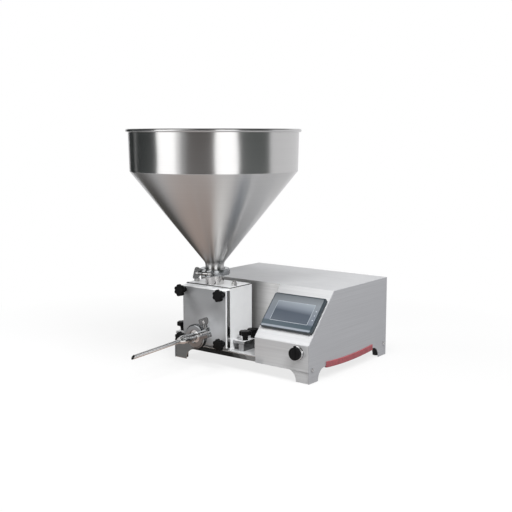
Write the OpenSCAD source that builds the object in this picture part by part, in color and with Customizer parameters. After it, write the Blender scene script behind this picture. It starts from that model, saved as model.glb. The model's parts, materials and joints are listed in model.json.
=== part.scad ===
// Bench-top paste filling machine: open hopper over a gear pump head on a stainless cabinet,
// with a sloped touch panel console, a selector knob and a long filling needle.
// Millimetres, +Z up. The machine faces -Y and stands on z = 0, centred on its own box.

/* [Cabinet] */
// Width of the cabinet
case_w = 340; // [300:1:400]
// Depth of the cabinet
case_d = 290; // [280:1:340]
// Height of the cabinet top over the floor
case_h = 167; // [160:1:190]
// Thickness of the stainless sheet
sheet = 1.5; // [1:0.1:2]
// Height of the pump deck over the floor
deck_z = 36; // [34:0.5:42]
// Depth of the open bay that the pump stands in
bay_d = 85; // [84:1:95]
// Width of the console at the right of the bay
console_w = 128; // [126:1:140]
// Height of the console's upright front
console_front_h = 75; // [70:1:85]
// Height of the lower edge of the front and rear panels
panel_edge_z = 23; // [20:0.5:26]
// Width of each sheet foot
foot_w = 31; // [26:1:40]
// Height of the arches between the feet
arch_h = 24; // [22:0.5:28]
// Corner radius of the arches
arch_r = 22; // [10:1:22]
// Clearance of the sheet feet over the floor
foot_lift = 1; // [0.5:0.1:2]

/* [Feet and trim] */
// Radius of the rubber feet
rubber_foot_r = 8; // [6:0.5:10]
// Distance of the rubber feet from the cabinet's sides
rubber_foot_inset = 15; // [13:0.5:17]
// Radius of the neck that snaps the rubber feet into the belly plate
foot_neck_r = 3; // [2:0.5:4]
// Height of the edge trim on the side arches
trim_h = 12; // [8:0.5:14]
// Wall of the edge trim
trim_wall = 2; // [1.5:0.1:2.4]
// Distance from the cabinet's front to the trim
trim_start = 58; // [54:1:80]
// Length of the trim
trim_len = 174; // [120:1:176]
// Radius of the casing screws' shanks
screw_r = 2; // [1.5:0.1:2.5]
// Radius of the casing screws' heads
screw_head_r = 3.6; // [3:0.1:4.5]
// Height of the casing screws' heads
screw_head_h = 2; // [1.5:0.1:2.5]

/* [Touch panel] */
// Width of the touch panel's bezel
touch_w = 122; // [110:1:124]
// Height of the touch panel's bezel along the slope
touch_h = 79; // [74:1:84]
// How far the bezel stands out of the slope
touch_t = 6; // [4:0.5:8]
// Distance of the bezel from the slope's lower edge
touch_up = 23; // [20:1:30]
// Border of the bezel round its screen
touch_border = 4; // [3:0.5:6]
// Thickness of the screen's front sheet
screen_t = 1.2; // [0.8:0.1:1.5]
// Depth of the electronics case behind the slope
touch_case_d = 25; // [18:1:26]
// Width of the rim that covers the slope's cut-out
touch_rim = 6; // [4:0.5:8]

/* [Selector] */
// Distance of the selector from the cabinet's right side
selector_inset = 26; // [24:1:40]
// Height of the selector over the floor
selector_z = 58; // [54:1:60]
// Radius of the selector's chrome ring
ring_r = 13.5; // [13:0.5:16]
// How far the ring stands out of the console
ring_t = 5; // [4:0.5:7]
// Radius of the threaded barrel behind the ring
barrel_r = 11; // [9:0.5:12]
// Radius of the selector knob
selector_r = 12.3; // [11:0.1:12.5]
// Thickness of the selector knob's disc
selector_t = 8; // [6:0.5:10]
// Radius of the selector knob's shaft
selector_shaft_r = 6; // [4:0.5:7]

/* [Pump head] */
// Distance of the pump's middle from the cabinet's left side
pump_x = 87.5; // [86:0.5:92]
// Width of the pump block
pump_w = 117; // [114:1:120]
// Depth of the pump block
pump_d = 70; // [66:1:74]
// Distance of the block's front from the cabinet's front
pump_front = 6; // [4:0.5:8]
// Height of the block over the deck
pump_h = 126.5; // [122:0.5:132]
// Thickness of the pump cover
cover_t = 12; // [10:0.5:14]
// Height of the pump cover
cover_h = 118; // [114:1:120]
// Gap between the deck and the cover's lower edge
cover_gap = 4.4; // [3:0.1:6]
// Chamfer round the cover's front
cover_chamfer = 2; // [1:0.1:3]
// Distance between the cover knobs, side to side
knob_pitch_x = 102; // [100:1:104]
// Distance between the cover knobs, top to bottom
knob_pitch_z = 99; // [97:1:101]
// Height of the rotor axes over the deck
rotor_up = 72; // [70:0.5:74]
// Distance between the two rotor axes
rotor_pitch = 44; // [43:0.5:45]
// Teeth on each rotor
rotor_teeth = 11; // [11:2:13]
// Length of the rotors
rotor_len = 44; // [40:1:46]
// Radius of the rotor shafts
shaft_r = 8; // [6:0.5:9]
// Radius of the pump's inlet
inlet_r = 15; // [12:0.5:16]
// Radius of the bore in the inlet ferrule
inlet_bore_r = 16.5; // [16:0.1:17]
// Distance of the inlet from the cabinet's front
inlet_y = 28; // [26:0.5:30]
// Radius of the pump's outlet port
port_r = 7.5; // [6:0.5:8]
// Height of the outlet over the floor
outlet_z = 63.5; // [60:0.5:66]
// Radius of the studs under the star knobs
stud_r = 3; // [2.5:0.1:3.5]
// Distance of the domed bolts on the block from its middle
top_bolt_x = 50; // [46:0.5:51]

/* [Star knobs] */
// Radius over the lobes of the star knobs
star_r = 12.5; // [11:0.1:13]
// Lobes on each star knob
star_lobes = 7; // [5:1:8]
// Radius of each lobe
lobe_r = 2.8; // [2.4:0.1:3]
// Height of the star head
star_h = 10; // [8:0.5:12]
// Radius of the star knob's stem
stem_r = 6; // [5:0.1:7]
// Length of the stem on the cover knobs
cover_stem = 11; // [9:0.5:14]
// Length of the stem on the lug knobs
lug_stem = 9; // [7:0.5:11]

/* [Mounting lugs] */
// How far the lugs reach out of the block
lug_reach = 29; // [28:0.5:29]
// Depth of the lugs
lug_d = 52; // [48:1:56]
// Thickness of the lugs
lug_t = 6; // [5:0.5:8]
// Height of the posts under the lugs
post_h = 14; // [12:0.5:16]
// Width of the posts
post_w = 13; // [12:0.5:16]
// Distance of the left lug from the cabinet's front
left_lug_y = 4; // [3:0.5:10]
// Distance of the right lug from the cabinet's front
right_lug_y = 14; // [8:0.5:16]
// Distance of the lug knobs from the lug's outer end
lug_knob_in = 8; // [7:0.5:9]
// Distance of the first lug knob from the lug's front edge
lug_knob_back = 13.5; // [13:0.5:15]
// Distance between the two knobs of a lug
lug_knob_pitch = 26; // [26:0.5:28]

/* [Hopper] */
// Outer radius of the hopper's upper wall
hopper_r = 170; // [150:1:180]
// Height of the hopper's cone
cone_h = 186; // [160:1:200]
// Height of the hopper's upright wall
bowl_h = 83; // [60:1:100]
// Wall of the hopper
hopper_wall = 1.5; // [1:0.1:2]
// Radius of the rolled bead round the rim
bead_r = 3.2; // [2.5:0.1:4]
// Outer radius of the hopper's neck and the inlet tube
neck_r = 19; // [18:0.1:20]
// Height of the hopper clamp's middle over the pump block
clamp_up = 25.5; // [24:0.5:28]
// Length of the neck over the clamp's middle
neck_len = 18; // [16:0.5:24]
// Radius of the hopper's clamp flanges
neck_flange_r = 25.25; // [25:0.05:26]
// Outer radius of the hopper clamp
hopper_clamp_r = 31; // [30:0.5:32]
// Turn of the hopper clamp about its axis
hopper_clamp_turn = 285; // [270:1:300]

/* [Clamps] */
// Thickness of the clamp gaskets
gasket_t = 1.6; // [1:0.1:2]
// Width of the clamp bands
clamp_w = 13; // [12:0.5:14]
// Thickness of the clamp flanges at their rims
flange_t = 1.6; // [1.2:0.1:2]
// Gap between the two clamp halves
clamp_split = 3; // [2:0.5:4]
// Radius of the clamp pins
clamp_pin_r = 1.8; // [1.5:0.1:2]
// Radius of the swing bolts
swing_bolt_r = 2.75; // [2.5:0.05:2.9]
// Radius of the wing nuts over their wings
wing_r = 12.5; // [11:0.1:13]
// Height of the wing nuts
wing_nut_h = 20; // [18:0.5:22]
// Turn of the hopper's wing nut from level wings
hopper_wing_turn = 120; // [0:5:180]
// Turn of the outlet's wing nut from wings square to its clamp
outlet_wing_turn = 0; // [0:5:180]

/* [Filling nozzle] */
// Distance of the outlet clamp's middle from the pump cover
outlet_reach = 24; // [22:0.5:26]
// Outer radius of the outlet tube
outlet_tube_r = 9.5; // [9:0.1:10]
// Radius of the outlet's clamp flanges
outlet_flange_r = 17; // [16.5:0.1:17.5]
// Outer radius of the outlet clamp
outlet_clamp_r = 24.5; // [24:0.5:25]
// Turn of the outlet clamp about its axis
outlet_clamp_turn = 22; // [15:1:30]
// Radius of the nozzle body
nozzle_r = 8.5; // [8:0.1:9]
// Length of the nozzle body's straight part
nozzle_len = 40; // [34:1:46]
// Length of the nozzle body's taper
nozzle_taper = 11; // [8:1:14]
// Radius of the filling needle
needle_r = 4; // [3.5:0.1:4.5]
// Wall of the filling needle
needle_wall = 1; // [0.5:0.1:1.2]
// Length of the filling needle
needle_len = 150; // [120:1:170]
// How far the needle is pushed into the nozzle body
needle_in = 22; // [18:1:28]
// Droop of the needle below level
needle_droop = 2.9; // [0:0.1:3]

/* [Drive and electrics] */
// Radius of the drive tube between the pump and the gear motor
drive_tube_r = 22; // [20:0.5:24]
// Length of the drive tube
drive_tube_len = 44; // [40:1:50]
// Width of the gearbox
gearbox_w = 60; // [56:1:64]
// Length of the gearbox
gearbox_len = 55; // [50:1:60]
// Width of the motor
motor_w = 57; // [50:1:60]
// Length of the motor
motor_len = 75; // [60:1:80]
// Width of the power supply
supply_w = 110; // [90:1:120]
// Depth of the power supply
supply_d = 78; // [60:1:78]
// Height of the power supply
supply_h = 38; // [30:1:45]
// Width of the motor controller's heat sink
controller_w = 76; // [60:1:90]
// Depth of the motor controller's heat sink
controller_d = 48; // [36:1:48]
// Height of the motor controller's heat sink
controller_h = 34; // [20:1:40]
// Thickness of the mains inlet's flange
inlet_flange_t = 3; // [2:0.5:3]
// Height of the mains inlet over the floor
mains_z = 70; // [60:1:90]
// Vent slots in each column of the rear panel
vent_slots = 6; // [4:1:7]

/* [Fits] */
// Radial clearance of pieces that turn on or in one another
running = 0.06; // [0.03:0.01:0.1]
// Radial clearance of pieces that are pressed or screwed together
snug = 0.02; // [0.01:0.01:0.03]
// Clearance of pieces that move past one another
clear = 0.3; // [0.3:0.05:0.5]

/* [Hidden] */
$fn = 72;
past = 1;

// Cabinet
console_x = case_w - console_w;
slope_angle = atan2(case_h - console_front_h, bay_d);
inner_x = case_w - sheet;
belly_gap = trim_wall + 0.5;
tab_d = 16;
tab_screw_y = 11;
tab_screw_z = 27;
tab_low = 8;
lip_h = 14;
screw_head_top_r = screw_head_r - 1;
rear_screw_x = 24;
rear_screw_low = (arch_h + deck_z) / 2;
rear_screw_high = case_h - sheet - lip_h / 2;

// Rubber feet: draft of the sides, and the barb over the belly plate
foot_draft = 1;
foot_barb = [1.5, 3];

// Touch panel, drawn in the slope's own plane
touch_x = console_x + console_w / 2;
touch_mid = touch_up + touch_h / 2;
touch_corner_r = 5;
screen_corner_r = 2.5;

// Selector
selector_x = case_w - selector_inset;
barrel_len = 12;
contact_w = 28;
contact_len = 26;
selector_grip = [7.5, 21, 1];
ring_taper = 0.6;
pointer = [4.2, 3.4];

// Pump
pump_back = pump_front + pump_d;
pump_top = deck_z + pump_h;
cover_front = pump_front - cover_t;
cover_low = deck_z + cover_gap;
cover_mid = cover_low + cover_h / 2 + 1;
rotor_z = deck_z + rotor_up;
drive_x = pump_x + rotor_pitch / 2;
driven_x = pump_x - rotor_pitch / 2;
chamber_back = pump_front + rotor_len;
seal_r = 13;
seal_t = 7;
bush_r = 11;
bush_front = chamber_back + seal_t;
driven_end = pump_back - 4;
stud_in = 16;
stud_out = cover_stem + star_h - 4;
top_bolt_y = 30;
top_bolt_in = 18;
top_bolt_head = 6;
top_bolt_hex_r = 6.2;
top_bolt_dome_r = 5;
ring_w = 2.4;
ring_depth = 2;
ring_mid = 31;
port_ring_mid = port_r + 2.9;

// Rotor teeth: involute flanks on a straight foot, thinned for backlash
tooth_module = rotor_pitch / rotor_teeth;
pressure = 25;
backlash = 0.36;
pitch_r = rotor_pitch / 2;
base_r = pitch_r * cos(pressure);
tip_r = pitch_r + 0.95 * tooth_module;
root_r = pitch_r - 1.2 * tooth_module;
flank_steps = 5;
half_tooth = 90 / rotor_teeth - backlash / 2 / pitch_r * 180 / PI;
chamber_r = tip_r + clear + 0.1;

// Lugs
lug_low = deck_z + post_h;
lug_top = lug_low + lug_t;
lug_sides = [-1, 1];
lug_stud_in = 10;
lug_stud_out = lug_stem + star_h - 3;

// Clamps, drawn round +Z with the swing bolt at +X
flange_angle = 20;
flange_slope = 5.2;
flange_rise = flange_slope * tan(flange_angle);
flange_back = gasket_t / 2 + flange_t;
clamp_bite = 4;
fork_w = 6.8;
fork_off = 0.8;
ear_reach = 10;
ear_root = 2;
ear_h = 7;
fixed_ear_h = 9;
pivot_out = 5.5;
eye_r = 4.2;
knuckle_r = 3.8;
knuckle_out = 2.6;
knuckle_half = 2.2;
pivot_y = -clamp_split / 2 - 4.5;
ear_top = clamp_split / 2 + ear_h;
nut_gap = 1;
nut_low = ear_top + nut_gap;
bolt_top = nut_low + 15;
nut_hub_r = 5;
nut_hub_h = 9;
hub_draft = 0.8;
wing_t = 3;
wing_foot = 3.5;
wing_tip = 3;

// Hopper
clamp_z = pump_top + clamp_up;
cone_z = clamp_z + neck_len;
bowl_z = cone_z + cone_h;
rim_z = bowl_z + bowl_h;
cone_rise = cone_h / (hopper_r - neck_r);
cone_wall = hopper_wall * sqrt(1 + 1 / pow(cone_rise, 2));
bead_out = bead_r - hopper_wall;
rim_r = hopper_r + bead_out + bead_r;

// Nozzle
outlet_clamp_y = cover_front - outlet_reach;
nozzle_start = outlet_clamp_y - gasket_t / 2;
needle_start = nozzle_start - nozzle_len - nozzle_taper + needle_in;
taper_end_r = needle_r + 1.5;
spigot_r = needle_r - 0.3;
spigot_len = needle_in / cos(needle_droop) + needle_r * tan(needle_droop) + clear / 2;
nozzle_bore_r = 5.5;
needle_cut = 6;
needle_tip = needle_start - needle_len * cos(needle_droop) - needle_r * sin(needle_droop);

// Drive
gearbox_y = pump_back + drive_tube_len;
motor_y = gearbox_y + gearbox_len;
drive_flange_t = 6;
drive_bore_r = shaft_r + 4;
shaft_into_gearbox = 40;
bracket_t = 3;
bracket_w = 50;
bracket_d = 40;
gearbox_low = rotor_z - gearbox_w / 2;

// Power supply and motor controller, placed from the cabinet's right side, the bay and the rear
supply_inset = 32;
supply_behind_bay = 20;
terminals = [14, 66, 22];
supply_x = case_w - supply_inset - terminals[0] - supply_w;
supply_y = bay_d + supply_behind_bay;
controller_inset = 40;
controller_off_rear = 20;
controller_foot = [24, 8, 8];
controller_x = case_w - controller_inset - controller_w - controller_foot[0];
controller_y = case_d - controller_off_rear - controller_d - controller_foot[1];

// Mains inlet and vents
mains_x = 60;
mains_flange = [50, 24];
mains_body = [30, 21];
mains_socket = [24, 16];
mains_deep = 22;
socket_deep = 17;
mains_pin = [4, 2, 10];
mains_pin_pitch = 7;
mains_pin_low = -2;
mains_pin_high = 3;
vent_size = [44, 4];
vent_step = 9;
vent_inset = 32;
vent_pitch = 68;
vent_columns = 2;
vent_low = 84;

// The machine's own box, which the origin is centred under
left_x = min(pump_x - rim_r, -trim_wall);
right_x = max(case_w + trim_wall, pump_x + rim_r);
centre_x = (left_x + right_x) / 2;
centre_y = (needle_tip + case_d + inlet_flange_t) / 2;

// Places and shared shapes

// Moves what is drawn from the cabinet's front left floor corner to the machine's origin
module in_frame() {
  translate([-centre_x, -centre_y, 0]) children();
}

// A box between two corners
module box(low, high) {
  translate(low) cube(high - low);
}

// Draws in the XZ plane at a place, with local z pointing to the front
module facing_front(x, y, z) {
  translate([x, y, z]) rotate([90, 0, 0]) children();
}

// A sheet seen from the side, from an outline in Y and Z
module side_sheet(x) {
  translate([x, 0, 0]) rotate([90, 0, 90]) linear_extrude(sheet) children();
}

// A sheet seen from the front, from an outline in X and Z
module front_sheet(y) {
  translate([0, y + sheet, 0]) rotate([90, 0, 0]) linear_extrude(sheet) children();
}

// Draws in the console slope's plane, with local z pointing out of it
module on_slope() {
  translate([touch_x, 0, console_front_h]) rotate([slope_angle, 0, 0]) children();
}

// The opening between two feet
module arch(from, to) {
  translate([from, -past]) square([to - from, arch_h - arch_r + past]);
  translate([from + arch_r, -past]) square([to - from - 2 * arch_r, arch_h + past]);
  for (x = [from + arch_r, to - arch_r]) translate([x, arch_h - arch_r]) circle(r = arch_r);
}

module rounded_plate(w, h, r, t) {
  linear_extrude(t) {
    square([w - 2 * r, h], center = true);
    square([w, h - 2 * r], center = true);
    for (x = [-1, 1], y = [-1, 1]) translate([x * (w / 2 - r), y * (h / 2 - r)]) circle(r = r);
  }
}

module at_side_screws() {
  for (y = [tab_screw_y, case_d - tab_screw_y], side = [0, 1])
    translate([side * case_w, y, tab_screw_z]) rotate([0, side ? 90 : -90, 0]) children();
}

module at_rear_screws() {
  for (x = [rear_screw_x, case_w - rear_screw_x], z = [rear_screw_low, rear_screw_high])
    translate([x, case_d, z]) rotate([-90, 0, 0]) children();
}

// Cuts the shanks' holes through two sheets
module screw_hole() {
  translate([0, 0, -2 * sheet - past]) cylinder(r = screw_r + snug, h = 2 * sheet + 2 * past);
}

module at_rubber_feet() {
  for (x = [rubber_foot_inset, case_w - rubber_foot_inset],
       y = [rubber_foot_inset, case_d - rubber_foot_inset])
    translate([x, y, 0]) children();
}

module at_cover_knobs() {
  for (x = [-1, 1], z = [-1, 1])
    facing_front(pump_x + x * knob_pitch_x / 2, cover_front, cover_mid + z * knob_pitch_z / 2) children();
}

// Draws at one lug knob: side -1 is left, row 0 is the front one
module at_lug_knob(side, row) {
  x = pump_x + side * (pump_w / 2 + lug_reach - lug_knob_in);
  translate([x, lug_y(side) + lug_knob_back + row * lug_knob_pitch, lug_top]) children();
}

function lug_y(side) = side < 0 ? left_lug_y : right_lug_y;

// The hopper clamp is turned over, so that its wing nut comes to the left end of the bolt
module at_hopper_clamp() {
  translate([pump_x, inlet_y, clamp_z]) rotate(hopper_clamp_turn) mirror([0, 1, 0]) children();
}

module at_outlet_clamp() {
  facing_front(pump_x, outlet_clamp_y, outlet_z) rotate(outlet_clamp_turn) children();
}

// Cabinet

module deck_plate() {
  color("gainsboro") in_frame() box([sheet, sheet, deck_z - sheet], [inner_x, case_d - sheet, deck_z]);
}

module skirt_outline() {
  difference() {
    translate([sheet, foot_lift]) square([case_w - 2 * sheet, deck_z - sheet - foot_lift]);
    arch(foot_w, case_w - foot_w);
  }
}

// Tabs behind the skirts' ends take the side screws
module skirt_tabs(y) {
  for (x = [sheet, inner_x - sheet])
    box([x, y, tab_low], [x + sheet, y + tab_d, deck_z - sheet]);
}

module base_skirts() {
  color("silver") in_frame() difference() {
    union() {
      front_sheet(sheet) skirt_outline();
      front_sheet(case_d - 2 * sheet) skirt_outline();
      skirt_tabs(2 * sheet);
      skirt_tabs(case_d - 2 * sheet - tab_d);
    }
    at_side_screws() screw_hole();
    at_rear_screws() screw_hole();
  }
}

module belly_plate() {
  side = sheet + belly_gap;
  color("silver") in_frame() difference() {
    box([side, 2 * sheet, arch_h], [case_w - side, case_d - 2 * sheet, arch_h + sheet]);
    at_rubber_feet() translate([0, 0, arch_h - past])
      cylinder(r = foot_neck_r + snug, h = sheet + 2 * past);
  }
}

module rubber_feet() {
  color("black") in_frame() at_rubber_feet() {
    cylinder(r1 = rubber_foot_r - foot_draft, r2 = rubber_foot_r, h = arch_h);
    cylinder(r = foot_neck_r, h = arch_h + sheet);
    translate([0, 0, arch_h + sheet])
      cylinder(r1 = foot_neck_r + foot_barb[0], r2 = foot_neck_r, h = foot_barb[1]);
  }
}

module right_side_panel() {
  color("silver") in_frame() difference() {
    side_sheet(inner_x) difference() {
      polygon([[0, foot_lift], [0, console_front_h], [bay_d, case_h], [case_d, case_h], [case_d, foot_lift]]);
      arch(foot_w, case_d - foot_w);
    }
    at_side_screws() screw_hole();
  }
}

module left_side_panel() {
  color("silver") in_frame() difference() {
    side_sheet(0) difference() {
      polygon([[0, foot_lift], [0, deck_z], [bay_d, deck_z], [bay_d, case_h], [case_d, case_h],
               [case_d, foot_lift]]);
      arch(foot_w, case_d - foot_w);
    }
    at_side_screws() screw_hole();
  }
}

// Wall behind the pump and the cabinet top, folded from one sheet, with a lip for the rear panel
module hood() {
  color("silver") in_frame() difference() {
    union() {
      box([sheet, bay_d, deck_z], [console_x + sheet, bay_d + sheet, case_h]);
      box([sheet, bay_d, case_h - sheet], [inner_x, case_d, case_h]);
      box([sheet, case_d - 2 * sheet, case_h - lip_h], [inner_x, case_d - sheet, case_h]);
    }
    facing_front(drive_x, bay_d + sheet + past, rotor_z)
      cylinder(r = drive_tube_r + clear, h = sheet + 2 * past);
    at_rear_screws() screw_hole();
  }
}

// Sloped front of the console, with its left cheek
module console_panel() {
  drop = sheet / cos(slope_angle);
  fold_z = console_front_h + sheet * tan(slope_angle) - drop;
  color("silver") in_frame() difference() {
    union() {
      translate([console_x + sheet, 0, 0]) rotate([90, 0, 90]) linear_extrude(console_w - 2 * sheet)
        polygon([[0, panel_edge_z], [0, console_front_h], [bay_d, case_h], [bay_d, case_h - drop],
                 [sheet, fold_z], [sheet, panel_edge_z]]);
      side_sheet(console_x)
        polygon([[0, deck_z], [0, console_front_h], [bay_d, case_h], [bay_d, deck_z]]);
    }
    on_slope() translate([0, touch_mid, -sheet - past])
      linear_extrude(sheet + 2 * past) touch_cut_out(snug);
    facing_front(selector_x, sheet + past, selector_z) cylinder(r = barrel_r + snug, h = sheet + 2 * past);
  }
}

module touch_cut_out(room) {
  square([touch_w - 2 * touch_rim + 2 * room, touch_h - 2 * touch_rim + 2 * room], center = true);
}

module mains_cut_out(room, size, from, deep) {
  translate([mains_x, case_d - from, mains_z]) rotate([-90, 0, 0])
    linear_extrude(deep) square([size[0] + 2 * room, size[1] + 2 * room], center = true);
}

module rear_panel() {
  color("silver") in_frame() difference() {
    box([sheet, case_d - sheet, panel_edge_z], [inner_x, case_d, case_h - sheet]);
    mains_cut_out(snug, mains_body, sheet + past, sheet + 2 * past);
    for (column = [0 : vent_columns - 1], row = [0 : vent_slots - 1])
      translate([case_w - vent_inset - vent_size[0] - column * vent_pitch, case_d - sheet - past,
                 vent_low + row * vent_step])
        cube([vent_size[0], sheet + 2 * past, vent_size[1]]);
    at_rear_screws() screw_hole();
  }
}

module casing_screw() {
  cylinder(r1 = screw_head_r, r2 = screw_head_top_r, h = screw_head_h);
  translate([0, 0, -2 * sheet]) cylinder(r = screw_r, h = 2 * sheet);
}

module casing_screws() {
  color("gray") in_frame() {
    at_side_screws() casing_screw();
    at_rear_screws() casing_screw();
  }
}

// Channel-shaped rubber on the edges of the side arches
module edge_trims() {
  low = arch_h - 2 * trim_wall;
  color("indianred") in_frame() for (x = [0, inner_x])
    difference() {
      box([x - trim_wall, trim_start, low], [x + sheet + trim_wall, trim_start + trim_len, low + trim_h]);
      box([x, trim_start - past, arch_h], [x + sheet, trim_start + trim_len + past, low + trim_h + past]);
    }
}

module mains_inlet() {
  pin_y = case_d + inlet_flange_t - socket_deep;
  color("black") in_frame() {
    difference() {
      union() {
        mains_cut_out(0, mains_flange, 0, inlet_flange_t);
        mains_cut_out(0, mains_body, mains_deep, mains_deep);
      }
      mains_cut_out(0, mains_socket, socket_deep - inlet_flange_t, socket_deep + past);
    }
    for (step = [-1, 0, 1])
      translate([mains_x + step * mains_pin_pitch, pin_y + mains_pin[2] / 2 - past,
                 mains_z + (step == 0 ? mains_pin_high : mains_pin_low)])
        cube([mains_pin[1], mains_pin[2] + 2 * past, mains_pin[0]], center = true);
  }
}

// Touch panel

module touch_housing() {
  color("darkslategray") in_frame() on_slope() translate([0, touch_mid, 0]) {
    difference() {
      rounded_plate(touch_w, touch_h, touch_corner_r, touch_t);
      translate([0, 0, touch_t - screen_t])
        rounded_plate(touch_w - 2 * touch_border, touch_h - 2 * touch_border, screen_corner_r,
                      screen_t + past);
    }
    translate([0, 0, -touch_case_d]) linear_extrude(touch_case_d + touch_t / 2) touch_cut_out(0);
  }
}

module touch_screen() {
  color("lightslategray") in_frame() on_slope() translate([0, touch_mid, touch_t - screen_t])
    rounded_plate(touch_w - 2 * touch_border - 2 * snug, touch_h - 2 * touch_border - 2 * snug,
                  screen_corner_r, screen_t);
}

// Selector

module selector_ring() {
  color("lightgray") in_frame() facing_front(selector_x, 0, selector_z) difference() {
    union() {
      cylinder(r1 = ring_r, r2 = ring_r - ring_taper, h = ring_t);
      translate([0, 0, -barrel_len]) cylinder(r = barrel_r, h = barrel_len);
    }
    translate([0, 0, -barrel_len - past])
      cylinder(r = selector_shaft_r + running, h = barrel_len + ring_t + 2 * past);
  }
}

module selector_knob() {
  face = ring_t + clear + selector_t;
  color("black") in_frame() facing_front(selector_x, 0, selector_z) {
    translate([0, 0, clear - barrel_len / 2])
      cylinder(r = selector_shaft_r, h = barrel_len / 2 + face - clear);
    translate([0, 0, ring_t + clear]) cylinder(r = selector_r, h = selector_t);
    translate([-selector_grip[0] / 2, -selector_grip[1] / 2, face - past]) cube(selector_grip + [0, 0, past]);
    translate([-pointer[0] / 2, selector_r - past, ring_t + clear])
      cube([pointer[0], pointer[1] + past, selector_t]);
  }
}

module selector_contacts() {
  color("black") in_frame() facing_front(selector_x, 0, selector_z)
    translate([-contact_w / 2, -contact_w / 2, -barrel_len - contact_len])
      cube([contact_w, contact_w, contact_len]);
}

// Pump head

// Outline of a seal ring round both rotor bores
module chamber_outline(r) {
  for (x = [-1, 1]) translate([x * rotor_pitch / 2, 0]) circle(r = r);
  square([rotor_pitch, 2 * r], center = true);
}

// Both seal rings, or their grooves, on the block's front
module seal_rings(room) {
  facing_front(pump_x, pump_front + ring_depth, rotor_z) linear_extrude(ring_depth + room) difference() {
    chamber_outline(ring_mid + ring_w / 2);
    chamber_outline(ring_mid - ring_w / 2);
  }
  facing_front(pump_x, pump_front + ring_depth, outlet_z) linear_extrude(ring_depth + room) difference() {
    circle(r = port_ring_mid + ring_w / 2);
    circle(r = port_ring_mid - ring_w / 2);
  }
}

module at_top_bolts() {
  for (side = [-1, 1]) translate([pump_x + side * top_bolt_x, top_bolt_y, pump_top]) children();
}

module pump_body() {
  half = pump_w / 2;
  color("lightgray") in_frame() difference() {
    box([pump_x - half, pump_front, deck_z], [pump_x + half, pump_back, pump_top]);
    for (x = [driven_x, drive_x]) {
      facing_front(x, chamber_back, rotor_z) cylinder(r = chamber_r, h = rotor_len + past);
      facing_front(x, bush_front, rotor_z) cylinder(r = seal_r + snug, h = seal_t + past);
      facing_front(x, driven_end, rotor_z) cylinder(r = bush_r + snug, h = driven_end - bush_front + past);
    }
    facing_front(drive_x, pump_back + past, rotor_z)
      cylinder(r = bush_r + snug, h = pump_back - driven_end + 2 * past);
    translate([pump_x, inlet_y, rotor_z]) cylinder(r = inlet_r, h = pump_top - rotor_z + past);
    translate([pump_x, inlet_y, outlet_z]) cylinder(r = port_r, h = rotor_z - outlet_z);
    facing_front(pump_x, inlet_y + port_r, outlet_z)
      cylinder(r = port_r, h = inlet_y + port_r - pump_front + past);
    at_cover_knobs() translate([0, 0, -cover_t - stud_in]) cylinder(r = stud_r + snug, h = stud_in + past);
    at_top_bolts() translate([0, 0, -top_bolt_in]) cylinder(r = stud_r + snug, h = top_bolt_in + past);
    seal_rings(past);
  }
}

module pump_cover() {
  half = pump_w / 2;
  slant = cover_chamfer * sqrt(2);
  color("darkgray") in_frame() difference() {
    box([pump_x - half, cover_front, cover_low], [pump_x + half, pump_front, cover_low + cover_h]);
    for (x = [-half, half]) translate([pump_x + x, cover_front, cover_low + cover_h / 2]) rotate([0, 0, 45])
      cube([slant, slant, cover_h + 2 * past], center = true);
    for (z = [0, cover_h]) translate([pump_x, cover_front, cover_low + z]) rotate([45, 0, 0])
      cube([pump_w + 2 * past, slant, slant], center = true);
    at_cover_knobs() translate([0, 0, -cover_t - past]) cylinder(r = stud_r + clear, h = cover_t + 2 * past);
    facing_front(pump_x, pump_front + past, outlet_z) cylinder(r = port_r, h = cover_t + 2 * past);
  }
}

module cover_seals() {
  color("white") in_frame() seal_rings(0);
}

// Studs under the star knobs: four in the block, four in the posts
module knob_studs() {
  color("silver") in_frame() {
    at_cover_knobs() translate([0, 0, -cover_t - stud_in])
      cylinder(r = stud_r, h = stud_in + cover_t + stud_out);
    for (side = lug_sides, row = [0, 1]) at_lug_knob(side, row) translate([0, 0, -lug_t - lug_stud_in])
      cylinder(r = stud_r, h = lug_stud_in + lug_t + lug_stud_out);
  }
}

// Star knob standing on z = 0, with a blind bore for its stud
module star_knob(stem, stud_len) {
  lobe_mid = star_r - lobe_r;
  difference() {
    union() {
      translate([0, 0, clear]) cylinder(r = stem_r, h = stem - clear + past);
      translate([0, 0, stem]) linear_extrude(star_h) star_outline(lobe_mid);
    }
    translate([0, 0, clear - past]) cylinder(r = stud_r + running, h = stud_len + past);
  }
}

module star_outline(lobe_mid) {
  circle(r = lobe_mid - 1);
  for (lobe = [0 : star_lobes - 1]) rotate(90 + lobe * 360 / star_lobes) {
    translate([0, -lobe_r]) square([lobe_mid, 2 * lobe_r]);
    translate([lobe_mid, 0]) circle(r = lobe_r);
  }
}

module cover_knob(x, z) {
  color("black") in_frame()
    facing_front(pump_x + x * knob_pitch_x / 2, cover_front, cover_mid + z * knob_pitch_z / 2)
      star_knob(cover_stem, stud_out);
}

module cover_knob_top_left() { cover_knob(-1, 1); }
module cover_knob_top_right() { cover_knob(1, 1); }
module cover_knob_low_left() { cover_knob(-1, -1); }
module cover_knob_low_right() { cover_knob(1, -1); }

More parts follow.
